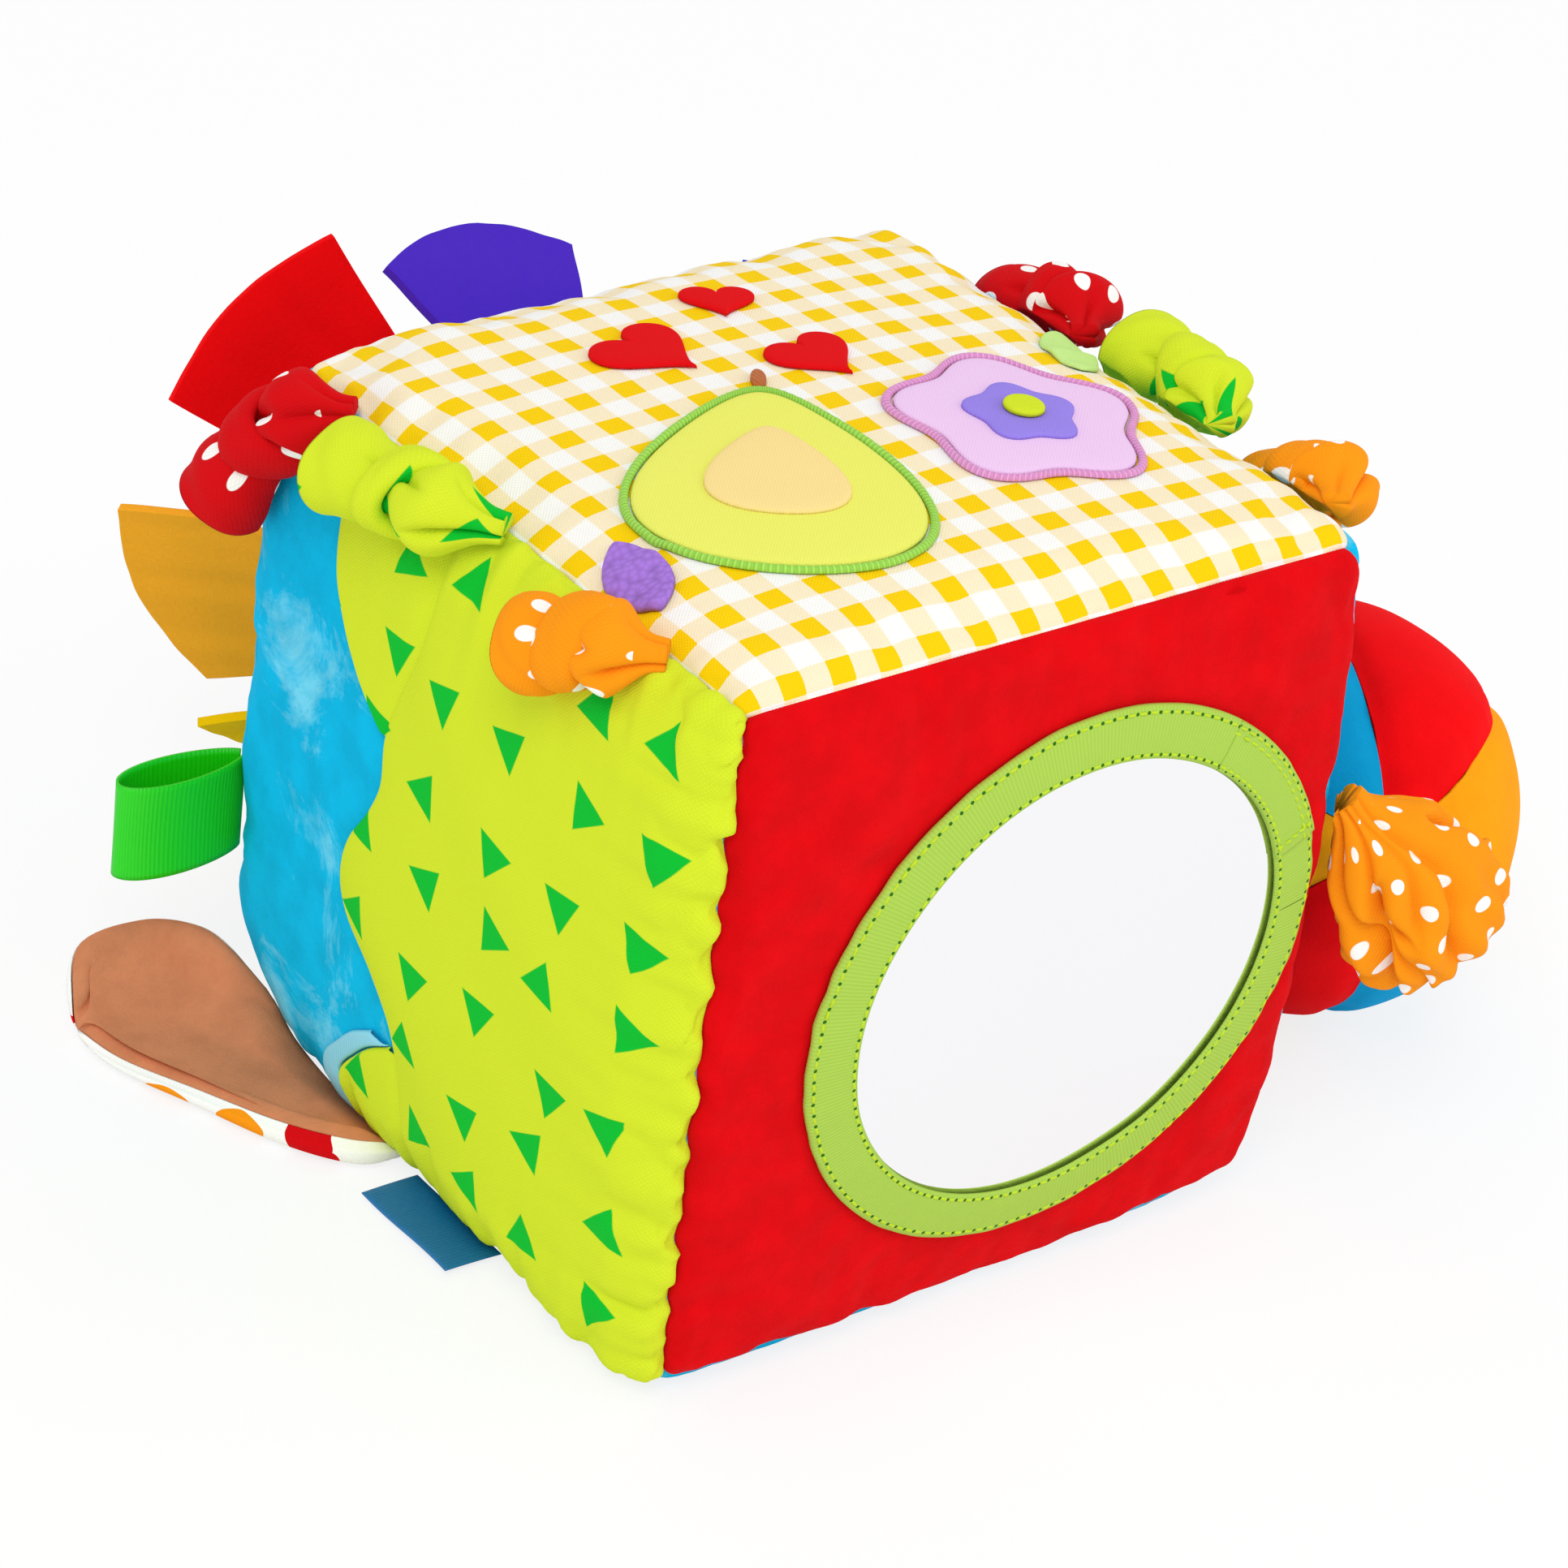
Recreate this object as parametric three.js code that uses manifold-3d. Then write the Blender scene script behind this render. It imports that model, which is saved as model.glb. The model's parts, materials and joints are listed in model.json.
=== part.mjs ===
// Soft activity cube for a baby: six sewn panels over a foam block, with a mirror, a padded hill picture,
// gathered tails along the top seams, felt petals, a stuffed ball, a ribbon loop, a plush ear and a side label.
// Millimetres, +Z up. The origin is the middle of the bottom panel, and the mirror looks along -Y.
import * as THREE from "three";
import { mergeVertices } from "three/addons/utils/BufferGeometryUtils.js";
import Module from "manifold-3d";

const wasm = await Module();
wasm.setup();

const radians = THREE.MathUtils.degToRad;

// Clearances that touching pieces share
const seat_gap = 0.3;
const seam_trim = 0.3;
const cut_overrun = 10;
const join_distance = 0.001;
// How finely and how far round its seat a hanging is cleared for its swing
const swing_step_angle = 5;
const swing_reach = 24;

// The sewn cube
const cube_side = 150;
const edge_round = 8;
const panel_crown = 4;
const belly_share = 0.03;
const cover_thick = 3;
const seam_dip = 1;
const seam_dip_reach = 4;
const corner_tuck = 9;
const corner_tuck_reach = 20;

// How far each corner is drawn in: mirror left, mirror right, back right and back left, first at the bottom
const bottom_tuck_shares = [0.1, 0.35, 0.6, 1];
const top_tuck_shares = [0.1, 0.1, 0.1, 0.35];

// The rattle in the foam block
const rattle_radius = 15;
const rattle_wall = 1.5;
const rattle_lip = 1.6;
const bead_radius = 3;
const bead_circle = 5.5;
const bead_count = 3;
const rattle_sides = 20;

// The mirror and its tape ring
const mirror_centre_right = 6.5;
const mirror_centre_drop = 0.7;
const mirror_thick = 1;
const mirror_tuck = 4;
const ring_width = 10.5;
const ring_thick = 1.4;
const ring_seam_margin = 9.4;
// The mirror is a little lower than it is wide
const mirror_upright_share = 0.94;

// The hill picture on the left panel
const hill_pad = 3.2;
const hill_rim = 0.9;
const hill_rise = 7;
const hill_swell_wave = 22;
const hill_swell = 0.5;
const lobe_pad = 1.8;
const edging_width = 6;
const edging_thick = 0.8;
const layer_gap = 0.4;
const lobe_tip_width = 2;

// Each row is a height share from the top seam and an outline share from the back seam
const front_hill_shares = [
  [0, 0.45],
  [0.12, 0.455],
  [0.2, 0.445],
  [0.28, 0.415],
  [0.345, 0.4],
  [0.41, 0.404],
  [0.46, 0.385],
  [0.52, 0.35],
  [0.58, 0.338],
  [0.63, 0.355],
  [0.68, 0.41],
  [0.74, 0.455],
  [0.83, 0.476],
  [0.92, 0.482],
  [1, 0.478],
];
const upper_hill_shares = [
  [0, 0.236],
  [0.1, 0.234],
  [0.19, 0.247],
  [0.25, 0.282],
  [0.3, 0.328],
  [0.345, 0.385],
];
const lower_hill_shares = [
  [0.78, 0.45],
  [0.81, 0.405],
  [0.85, 0.365],
  [0.89, 0.333],
  [0.94, 0.335],
  [1, 0.35],
];

// The sewn pictures on the top panel
const applique_thick = 1.1;
const satin_width = 2.2;
const satin_thick = 1.6;
const heart_widths = [22, 15, 19];
const heart_place_shares = [
  [-0.113, 0.233],
  [0.063, 0.316],
  [0.073, 0.127],
];
const heart_angles = [20, -25, 10];
const pear_length = 62;
const pear_width = 49;
const pear_place_share = [-0.167, -0.11];
const pear_angle = -32;
const pear_core_share = 0.5;
const stalk_length = 7;
const stalk_width = 3;
const leaf_length = 22;
const leaf_width = 12;
const terry_leaf_place_share = [-0.438, -0.205];
const terry_leaf_angle = 78;
const pale_leaf_place_share = [0.43, 0.035];
const pale_leaf_angle = 60;
const flower_radius = 22;
const flower_place_share = [0.215, -0.118];
const flower_wave_share = 0.11;
const flower_petals = 5;
const flower_eye_radius = 10.5;
const flower_spot_radius = 4;

// The gathered tails along the two top seams
const tail_root_radius = 3.2;
const tail_bulge_radius = 9.2;
const tail_pinch_radius = 6;
const tail_end_radius = 8.4;
const tail_reach = 9;
const tail_pleat_share = 0.09;
const tail_pleats = 5;
const tail_twist_angle = 126;
const tail_rings = 13;
const tail_sides = 15;
// Side, root place along the seam, length, the drop of the free end and how far the tail swings out in degrees
const tails = {
  left_red_tail: { side: -1, root: 46, length: 25, drop: 27, swing_angle: 35 },
  left_lime_tail: { side: -1, root: -4, length: 38, drop: 3, swing_angle: 35 },
  left_orange_tail: { side: -1, root: -53, length: 30, drop: 7, swing_angle: 60 },
  right_red_tail: { side: 1, root: 13, length: 34, drop: 12, swing_angle: 35 },
  right_lime_tail: { side: 1, root: -28, length: 35, drop: 3, swing_angle: 35 },
  right_orange_tail: { side: 1, root: -62, length: 30, drop: 14, swing_angle: 60 },
};

// The big gathered puff on the mirror's right seam
const puff_root_height = 92;
const puff_length = 46;
const puff_root_radius = 4;
const puff_radius = 18;
const puff_flat_share = 0.66;
const puff_fall_angle = 52;
const puff_lean = 8;
const puff_swing_angle = 60;
const puff_pleats = 9;
const puff_pleat_share = 0.07;
const puff_rings = 16;
const puff_sides = 36;

// The stuffed ball beside the right panel
const ball_radius = 44.5;
const ball_cover = 1.6;
const ball_tape_length = 3;
const ball_tape_thick = 1.2;
const ball_tape_width = 16;
const ball_forward = 21;
const ball_floor_gap = 0.4;
const ball_wedges = 6;
const ball_seam_dip = 1.1;
const ball_pole_cap = 1.5;
const ball_pole_share = [-0.36, -0.83, 0.36];
const ball_seam_share = [0.81, -0.24, 0.54];
const wedge_across = 6;
const wedge_along = 12;

// The petals on the back panel
const petal_hub_radius = 27;
const petal_hub_thick = 5;
const petal_reach = 88;
const petal_half_angle = 15.5;
const petal_thick = 2;
const petal_curl = 3;
const petal_root_lift = 3.4;
// Colour, direction round the hub from straight up towards -X, and tilt away from the panel, in degrees
const petals = {
  purple_petal: { colour: 0x5528be, turn: -17, tilt: 59 },
  red_petal: { colour: 0xf40000, turn: 43, tilt: 22 },
  orange_petal: { colour: 0xff9b00, turn: 108, tilt: 56 },
  yellow_petal: { colour: 0xffc800, turn: 153, tilt: 51 },
  green_petal: { colour: 0x1fae2b, turn: 203, tilt: 52 },
  blue_petal: { colour: 0x1e9fe0, turn: 248, tilt: 30 },
  indigo_petal: { colour: 0x2f45c0, turn: 290, tilt: 24 },
};

// The ribbon loop on the back left seam
const ribbon_width = 21;
const ribbon_thick = 0.9;
const ribbon_reach = 31;
const ribbon_open = 11;
const ribbon_swing_angle = 15;
const ribbon_height = 50;
const ribbon_steps = 9;

// The plush ear at the foot of the left panel
const ear_plush_thick = 4;
const ear_lining_thick = 1.2;
const ear_tip_share = 0.97;
const ear_hollow = 7;
const ear_tip_height = 11;
const ear_floor_gap = 0.5;
const ear_hinge_height = 3.2;
const ear_hinge_forward = 37.5;
const ear_lift_angle = 35;
const ear_root_thick = 0.8;
const ear_root_reach = 9;
// Outline of the ear on the floor as shares of the cube's side, from the root to the tip
const ear_near_shares = [
  [-0.5, 0.09],
  [-0.555, 0.105],
  [-0.62, 0.19],
  [-0.675, 0.33],
  [-0.715, 0.45],
  [-0.72, 0.55],
];
const ear_far_shares = [
  [-0.5, 0.38],
  [-0.512, 0.45],
  [-0.525, 0.52],
  [-0.56, 0.59],
  [-0.64, 0.615],
  [-0.72, 0.55],
];

// The folded side label at the foot of the left panel
const label_length = 29;
const label_width = 13;
const label_thick = 1.2;
const label_forward = 8;
const label_drop = 0.6;
const label_lift_angle = 30;

const half = cube_side / 2;

// Mesh building

// Joins corner triples into one closed geometry.
function closedGeometry(triangles) {
  const corners = triangles.flat().flatMap((corner) => corner.toArray());
  const raw = new THREE.BufferGeometry();
  raw.setAttribute("position", new THREE.Float32BufferAttribute(corners, 3));
  return joined(raw);
}

// Joins equal corners and drops the faces that shrink to a line.
function joined(raw) {
  const merged = mergeVertices(raw, join_distance);
  const kept = [];
  for (let i = 0; i < merged.index.count; i += 3) {
    const face = [0, 1, 2].map((k) => merged.index.getX(i + k));
    if (new Set(face).size === 3) kept.push(...face);
  }
  merged.setIndex(kept);
  merged.computeVertexNormals();
  return merged;
}

function addQuad(triangles, a, b, c, d) {
  triangles.push([a, b, c], [a, c, d]);
}

// A closed sheet over the columns s and rows t: place(s, t, side) gives its inner face (0) and outer face (1).
function closedSheet(columns, rows, place) {
  const grid = [0, 1].map((side) => columns.map((s) => rows.map((t) => place(s, t, side))));
  const triangles = [];
  const last_s = columns.length - 1;
  const last_t = rows.length - 1;
  const [inner, outer] = grid;
  for (let i = 0; i < last_s; i++) {
    for (let j = 0; j < last_t; j++) {
      addQuad(triangles, outer[i][j], outer[i + 1][j], outer[i + 1][j + 1], outer[i][j + 1]);
      addQuad(triangles, inner[i][j], inner[i][j + 1], inner[i + 1][j + 1], inner[i + 1][j]);
    }
    addQuad(triangles, inner[i][0], inner[i + 1][0], outer[i + 1][0], outer[i][0]);
    addQuad(triangles, inner[i + 1][last_t], inner[i][last_t], outer[i][last_t], outer[i + 1][last_t]);
  }
  for (let j = 0; j < last_t; j++) {
    addQuad(triangles, inner[last_s][j], inner[last_s][j + 1], outer[last_s][j + 1], outer[last_s][j]);
    addQuad(triangles, inner[0][j + 1], inner[0][j], outer[0][j], outer[0][j + 1]);
  }
  return closedGeometry(triangles);
}

// A closed tube: place(i, j) gives point j of ring i, and both ends are closed to their middle.
function closedTube(rings, sides, place) {
  const grid = steps(rings).map((i) => steps(sides, false).map((j) => place(i, j)));
  const triangles = [];
  for (let i = 0; i < rings; i++) {
    for (let j = 0; j < sides; j++) {
      const next = (j + 1) % sides;
      addQuad(triangles, grid[i][j], grid[i][next], grid[i + 1][next], grid[i + 1][j]);
    }
  }
  for (const [ring, forward] of [[grid[0], false], [grid[rings], true]]) {
    const middle = ring.reduce((sum, point) => sum.add(point), new THREE.Vector3()).divideScalar(sides);
    ring.forEach((point, j) => {
      const next = ring[(j + 1) % sides];
      triangles.push(forward ? [middle, point, next] : [middle, next, point]);
    });
  }
  return closedGeometry(triangles);
}

// A closed ring: place(turn, k) gives corner k of the section at that share of a turn.
function closedRing(turns, corners, place) {
  const grid = steps(turns, false).map((turn) => [...Array(corners).keys()].map((k) => place(turn, k)));
  const triangles = [];
  for (let i = 0; i < turns; i++) {
    const next = (i + 1) % turns;
    for (let k = 0; k < corners; k++) {
      const up = (k + 1) % corners;
      addQuad(triangles, grid[i][k], grid[next][k], grid[next][up], grid[i][up]);
    }
  }
  return closedGeometry(triangles);
}

// Even shares from 0 to 1, or up to the last one before 1.
function steps(count, closed = true) {
  return [...Array(count + (closed ? 1 : 0)).keys()].map((k) => k / count);
}

function mix(a, b, share) {
  return a + (b - a) * share;
}

function ease(share) {
  const held = Math.min(Math.max(share, 0), 1);
  return held * held * (3 - 2 * held);
}

function bell(distance, reach) {
  return Math.exp(-((distance / reach) ** 2));
}

// Reads a smooth curve through [place, value] rows at one place.
function curveAt(rows, place) {
  const first = rows[0][0];
  const last = rows[rows.length - 1][0];
  const held = Math.min(Math.max(place, first), last);
  let k = rows.findIndex((row, i) => i > 0 && held <= row[0]);
  if (k < 1) k = rows.length - 1;
  const [a, b] = [rows[k - 1], rows[k]];
  const slope = (i) => {
    const before = rows[Math.max(i - 1, 0)];
    const after = rows[Math.min(i + 1, rows.length - 1)];
    return (after[1] - before[1]) / (after[0] - before[0]);
  };
  const run = b[0] - a[0];
  const t = (held - a[0]) / run;
  const t2 = t * t;
  const t3 = t2 * t;
  return (
    (2 * t3 - 3 * t2 + 1) * a[1] +
    (t3 - 2 * t2 + t) * run * slope(k - 1) +
    (3 * t2 - 2 * t3) * b[1] +
    (t3 - t2) * run * slope(k)
  );
}

// Solids for joining and cutting

// A library shape with its seams joined, which is done before it is moved so that equal corners stay equal.
function welded(geometry) {
  for (const name of ["normal", "uv"]) geometry.deleteAttribute(name);
  return joined(geometry);
}

function solidOf(geometry) {
  const vertProperties = new Float32Array(geometry.attributes.position.array);
  return new wasm.Manifold(
    new wasm.Mesh({ numProp: 3, vertProperties, triVerts: new Uint32Array(geometry.index.array) }),
  );
}

function geometryOf(solid) {
  const mesh = solid.getMesh();
  const geometry = new THREE.BufferGeometry();
  geometry.setAttribute("position", new THREE.BufferAttribute(new Float32Array(mesh.vertProperties), 3));
  geometry.setIndex([...mesh.triVerts]);
  return joined(geometry);
}

const activity_cube = new THREE.Group();

function addPiece(name, geometry, colour, roughness = 0.9) {
  const material = new THREE.MeshStandardMaterial({ color: colour, roughness, metalness: 0 });
  const mesh = new THREE.Mesh(geometry, material);
  mesh.name = name;
  activity_cube.add(mesh);
  return mesh;
}

// The cube's skin

const axis = {
  x: new THREE.Vector3(1, 0, 0),
  y: new THREE.Vector3(0, 1, 0),
  z: new THREE.Vector3(0, 0, 1),
};

function faceFrame(right, up, crown) {
  return { right, up, out: new THREE.Vector3().crossVectors(right, up), crown };
}

const minus = (vector) => vector.clone().negate();
const faces = {
  top: faceFrame(axis.x, axis.y, panel_crown),
  base: faceFrame(axis.x, minus(axis.y), 0),
  mirror: faceFrame(axis.x, axis.z, panel_crown),
  left: faceFrame(minus(axis.y), axis.z, panel_crown),
  back: faceFrame(minus(axis.x), axis.z, panel_crown),
  right: faceFrame(axis.y, axis.z, panel_crown),
};

const corner_signs = [
  [-1, -1],
  [1, -1],
  [1, 1],
  [-1, 1],
];
const corners = [bottom_tuck_shares, top_tuck_shares].flatMap((shares, level) =>
  corner_signs.map(([sx, sy], k) => ({
    at: new THREE.Vector3(sx * half, sy * half, level * cube_side),
    inward: new THREE.Vector3(-sx, -sy, 1 - 2 * level).normalize().multiplyScalar(corner_tuck * shares[k]),
  })),
);

// The point of a face at right and up from its middle, at a lift above the cover's outside.
function skin(face, right, up, lift) {
  const flat = half - edge_round;
  const core_right = Math.min(Math.max(right, -flat), flat);
  const core_up = Math.min(Math.max(up, -flat), flat);
  const direction = new THREE.Vector3(right - core_right, up - core_up, edge_round).normalize();
  const dip = [right, up].reduce((sum, at) => sum + seam_dip * bell(half - Math.abs(at), seam_dip_reach), 0);
  const crown = face.crown * (1 - (right / half) ** 2) * (1 - (up / half) ** 2);
  const local = direction.multiplyScalar(edge_round + lift - dip);
  local.add(new THREE.Vector3(core_right, core_up, flat + crown));
  const point = new THREE.Vector3(0, 0, half)
    .addScaledVector(face.right, local.x)
    .addScaledVector(face.up, local.y)
    .addScaledVector(face.out, local.z);
  const tuck = new THREE.Vector3();
  for (const corner of corners) {
    tuck.addScaledVector(corner.inward, bell(point.distanceTo(corner.at), corner_tuck_reach));
  }
  point.add(tuck);
  const belly = 1 + belly_share * (1 - ((point.z - half) / half) ** 2);
  return point.multiply(new THREE.Vector3(belly, belly, 1));
}

// Places across a panel: the seam's round in two steps, and even steps between the rounds.
function panelSteps(inner_steps, trim) {
  const flat = half - edge_round;
  const round = [flat + edge_round * Math.tan(radians(45 / 2)), half - trim];
  const middle = steps(inner_steps).map((share) => mix(-flat, flat, share));
  return [...round.map((at) => -at).reverse(), ...middle, ...round];
}

function panelGeometry(face, inner_steps) {
  const places = panelSteps(inner_steps, seam_trim);
  return closedSheet(places, places, (right, up, side) => skin(face, right, up, side ? 0 : -cover_thick));
}

// A closed block bounded by the skin at a lift.
function skinBlock(inner_steps, lift) {
  const places = panelSteps(inner_steps, 0);
  const triangles = [];
  for (const face of Object.values(faces)) {
    const grid = places.map((right) => places.map((up) => skin(face, right, up, lift)));
    for (let i = 0; i < places.length - 1; i++) {
      for (let j = 0; j < places.length - 1; j++) {
        addQuad(triangles, grid[i][j], grid[i + 1][j], grid[i + 1][j + 1], grid[i][j + 1]);
      }
    }
  }
  return closedGeometry(triangles);
}

addPiece("top_panel", panelGeometry(faces.top, 6), 0xf5d94a, 0.85);
addPiece("mirror_panel", panelGeometry(faces.mirror, 6), 0xe30012, 1);
addPiece("left_panel", panelGeometry(faces.left, 6), 0x12b4e6, 1);
addPiece("back_panel", panelGeometry(faces.back, 6), 0x12b4e6, 1);
addPiece("right_panel", panelGeometry(faces.right, 6), 0x12b4e6, 1);
addPiece("base_panel", panelGeometry(faces.base, 6), 0x12b4e6, 1);

// The foam block with the rattle in its pocket

const core_lift = -(cover_thick + seat_gap);
const pocket_radius = rattle_radius + seat_gap;
const pocket_top = half + rattle_radius + seat_gap;
const plug_top = half - rattle_radius - seat_gap;
const core_bottom = -core_lift;

function uprightCylinder(radius, bottom, top, sides) {
  const shape = welded(new THREE.CylinderGeometry(radius, radius, top - bottom, sides));
  return shape.rotateX(radians(90)).translate(0, 0, (bottom + top) / 2);
}

const pocket_sides = 24;
const pocket = solidOf(uprightCylinder(pocket_radius, core_bottom - cut_overrun, pocket_top, pocket_sides));
const foam_core = solidOf(skinBlock(6, core_lift)).subtract(pocket);
addPiece("foam_core", geometryOf(foam_core), 0xf2efe6, 1);
addPiece(
  "foam_plug",
  uprightCylinder(rattle_radius, core_bottom, plug_top, pocket_sides),
  0xf2efe6,
  1,
);

// One half of the rattle's case, a thin bowl; the lower one has the lip that the upper one closes over.
function rattleHalf(up) {
  const arc = steps(6).map((share) => radians(share * 90));
  const bowl = (radius) => arc.map((angle) => [radius * Math.sin(angle), -radius * Math.cos(angle)]);
  const inner_radius = rattle_radius - rattle_wall;
  const lip_radius = rattle_radius - rattle_wall / 2;
  const outside = bowl(rattle_radius);
  const inside = bowl(inner_radius).reverse();
  const lip_top = rattle_lip - 2 * seat_gap;
  const recess = -(rattle_lip - seat_gap);
  const rim = up
    ? [
        [lip_radius + seat_gap, 0],
        [lip_radius + seat_gap, recess],
        [Math.sqrt(inner_radius ** 2 - recess ** 2), recess],
      ]
    : [
        [rattle_radius, -seat_gap],
        [lip_radius, -seat_gap],
        [lip_radius, lip_top],
        [inner_radius, lip_top],
      ];
  const first = up ? outside : outside.slice(0, -1);
  const last = up ? inside.slice(1) : inside;
  const profile = [...first, ...rim, ...last].map(([r, z]) => new THREE.Vector2(r, z));
  const geometry = welded(new THREE.LatheGeometry(profile, rattle_sides)).rotateX(radians(90));
  if (up) geometry.rotateX(radians(180));
  return geometry.translate(0, 0, half);
}

addPiece("rattle_case_upper", rattleHalf(true), 0xf6f6f4, 0.45);
addPiece("rattle_case_lower", rattleHalf(false), 0xf6f6f4, 0.45);

const bead_floor = Math.sqrt((rattle_radius - rattle_wall - seat_gap - bead_radius) ** 2 - bead_circle ** 2);
for (let k = 0; k < bead_count; k++) {
  const angle = radians((k / bead_count) * 360);
  const bead = welded(new THREE.SphereGeometry(bead_radius, 10, 7));
  bead.translate(bead_circle * Math.cos(angle), bead_circle * Math.sin(angle), half - bead_floor);
  addPiece("rattle_bead_" + (k + 1), bead, 0xd8d8d8, 0.4);
}

// Patches that lie on a panel

// A closed slab over a star shaped outline: outline(turn) gives right and up from the middle.
function patchGeometry(face, middle, outline, rings, turns, low, high) {
  const place = (turn, share, lift) => {
    const [right, up] = outline(turn);
    return skin(face, middle[0] + right * share, middle[1] + up * share, lift);
  };
  const triangles = [];
  const top = skin(face, ...middle, high);
  const bottom = skin(face, ...middle, low);
  steps(turns, false).forEach((turn) => {
    const next = (turn + 1 / turns) % 1;
    const inner_share = 1 / rings;
    triangles.push([top, place(turn, inner_share, high), place(next, inner_share, high)]);
    triangles.push([bottom, place(next, inner_share, low), place(turn, inner_share, low)]);
    for (let k = 1; k < rings; k++) {
      const [a, b] = [k / rings, (k + 1) / rings];
      addQuad(triangles, place(turn, a, high), place(turn, b, high), place(next, b, high), place(next, a, high));
      addQuad(triangles, place(next, a, low), place(next, b, low), place(turn, b, low), place(turn, a, low));
    }
    addQuad(triangles, place(turn, 1, low), place(next, 1, low), place(next, 1, high), place(turn, 1, high));
  });
  return closedGeometry(triangles);
}

// A closed band round the same kind of outline, between two growths in millimetres and two lifts.
function bandGeometry(face, middle, outline, turns, section) {
  return closedRing(turns, section.length, (turn, k) => {
    const [right, up] = outline(turn);
    const [grow, lift] = section[k];
    const length = Math.hypot(right, up);
    const scale = (length + grow) / length;
    return skin(face, middle[0] + right * scale, middle[1] + up * scale, lift);
  });
}

const oval = (wide_radius, upright_radius) => (turn) => [
  wide_radius * Math.cos(radians(turn * 360)),
  upright_radius * Math.sin(radians(turn * 360)),
];
const circle = (radius) => oval(radius, radius);

function turned(outline, angle) {
  const [c, s] = [Math.cos(radians(angle)), Math.sin(radians(angle))];
  return (turn) => {
    const [right, up] = outline(turn);
    return [right * c - up * s, right * s + up * c];
  };
}

const shareOf = (pair) => pair.map((share) => share * cube_side);

// The mirror and its ring

const mirror_middle = [mirror_centre_right, -mirror_centre_drop];
const ring_inner_radius = half - mirror_centre_right - ring_seam_margin - ring_width;
const mirror_radius = ring_inner_radius + mirror_tuck;
const mirrorOval = (radius) => oval(radius, radius * mirror_upright_share);
const sheet_top = seat_gap + mirror_thick;
addPiece(
  "mirror_sheet",
  patchGeometry(faces.mirror, mirror_middle, mirrorOval(mirror_radius), 4, 40, seat_gap, sheet_top),
  0xf4f4f6,
  0.05,
);
const ring_step = mirror_radius + seat_gap - ring_inner_radius;
const ring_section = [
  [0, sheet_top + seat_gap],
  [ring_step, sheet_top + seat_gap],
  [ring_step, seat_gap],
  [ring_width, seat_gap],
  [ring_width, seat_gap + ring_thick],
  [ring_step, sheet_top + seat_gap + ring_thick],
  [0, sheet_top + seat_gap + ring_thick],
];
addPiece(
  "mirror_ring",
  bandGeometry(faces.mirror, mirror_middle, mirrorOval(ring_inner_radius), 40, ring_section),
  0xa2cc52,
  0.8,
);

// The hill picture

const hillLine = (rows, up) => mix(-half, half, curveAt(rows, (half - up) / cube_side));

// Padding of a hill that starts at one line and runs to the mirror's seam.
function hillPad(full, from_edge, right, up) {
  const from_seam = Math.min(half - Math.abs(up), half - right);
  const swell = hill_swell * Math.sin(up / hill_swell_wave) * Math.sin(right / hill_swell_wave);
  const rise = (1 - Math.exp(-from_edge / hill_rise)) * (1 - Math.exp(-from_seam / hill_rise));
  return hill_rim + (full + swell - hill_rim) * rise;
}

const hill_rows = panelSteps(14, seam_trim);

// Columns up to 1 run from the hill's line to the flat's end, and those above follow the seam's round.
function frontHillPlace(column, up, margin) {
  const line = hillLine(front_hill_shares, up) - margin;
  return column <= 1 ? mix(line, half - edge_round, column) : column - 1;
}

function frontHillLift(right, up) {
  return hillPad(hill_pad, Math.max(right - hillLine(front_hill_shares, up), 0), right, up);
}

// The front hill as a sheet that stops a trim short of the seams and starts a margin before its line.
function frontHillSheet(trim, margin, liftAt) {
  const round = panelSteps(4, trim).slice(-2);
  const columns = [...steps(6), ...round.map((at) => at + 1)];
  return closedSheet(columns, panelSteps(14, trim), (column, up, side) => {
    const right = frontHillPlace(column, up, margin);
    return skin(faces.left, right, up, liftAt(side, frontHillLift(right, up)));
  });
}

const front_hill = frontHillSheet(seam_trim, 0, (side, pad) => seat_gap + side * pad);
addPiece("front_hill", front_hill, 0xcfe12d, 0.85);

// A smaller hill that ends a gap short of the front hill's line and starts a margin before its own.
function lobeSheet(rows, heights, margin, liftAt) {
  return closedSheet(steps(3), heights, (share, up, side) => {
    const end = hillLine(front_hill_shares, up) - layer_gap;
    const start = Math.min(hillLine(rows, up), end - lobe_tip_width);
    const right = mix(start - margin, end, share);
    const pad = hillPad(lobe_pad, Math.max(right - start, 0), right, up);
    return skin(faces.left, right, up, liftAt(side, pad));
  });
}

const heightAt = (share) => half - share * cube_side;
const upper_end = heightAt(upper_hill_shares[upper_hill_shares.length - 1][0]);
const lower_end = heightAt(lower_hill_shares[0][0]);
const upper_rows = [upper_end, ...hill_rows.filter((up) => up > upper_end + lobe_tip_width)];
const lower_rows = [...hill_rows.filter((up) => up < lower_end - lobe_tip_width), lower_end];
const padded = (side, pad) => seat_gap + side * pad;
addPiece("upper_hill", lobeSheet(upper_hill_shares, upper_rows, 0, padded), 0xcfe12d, 0.85);
addPiece("lower_hill", lobeSheet(lower_hill_shares, lower_rows, 0, padded), 0xcfe12d, 0.85);
addPiece(
  "pale_edging",
  closedSheet(steps(2), lower_rows, (share, up, side) => {
    const hill_end = hillLine(front_hill_shares, up) - layer_gap - lobe_tip_width;
    const end = Math.min(hillLine(lower_hill_shares, up), hill_end) - layer_gap;
    const right = mix(end - edging_width, end, share);
    return skin(faces.left, right, up, seat_gap + (side ? edging_thick : 0));
  }),
  0x8ed4f0,
  0.7,
);

// The sewn pictures on the top

const applique_top = seat_gap + applique_thick;

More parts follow.
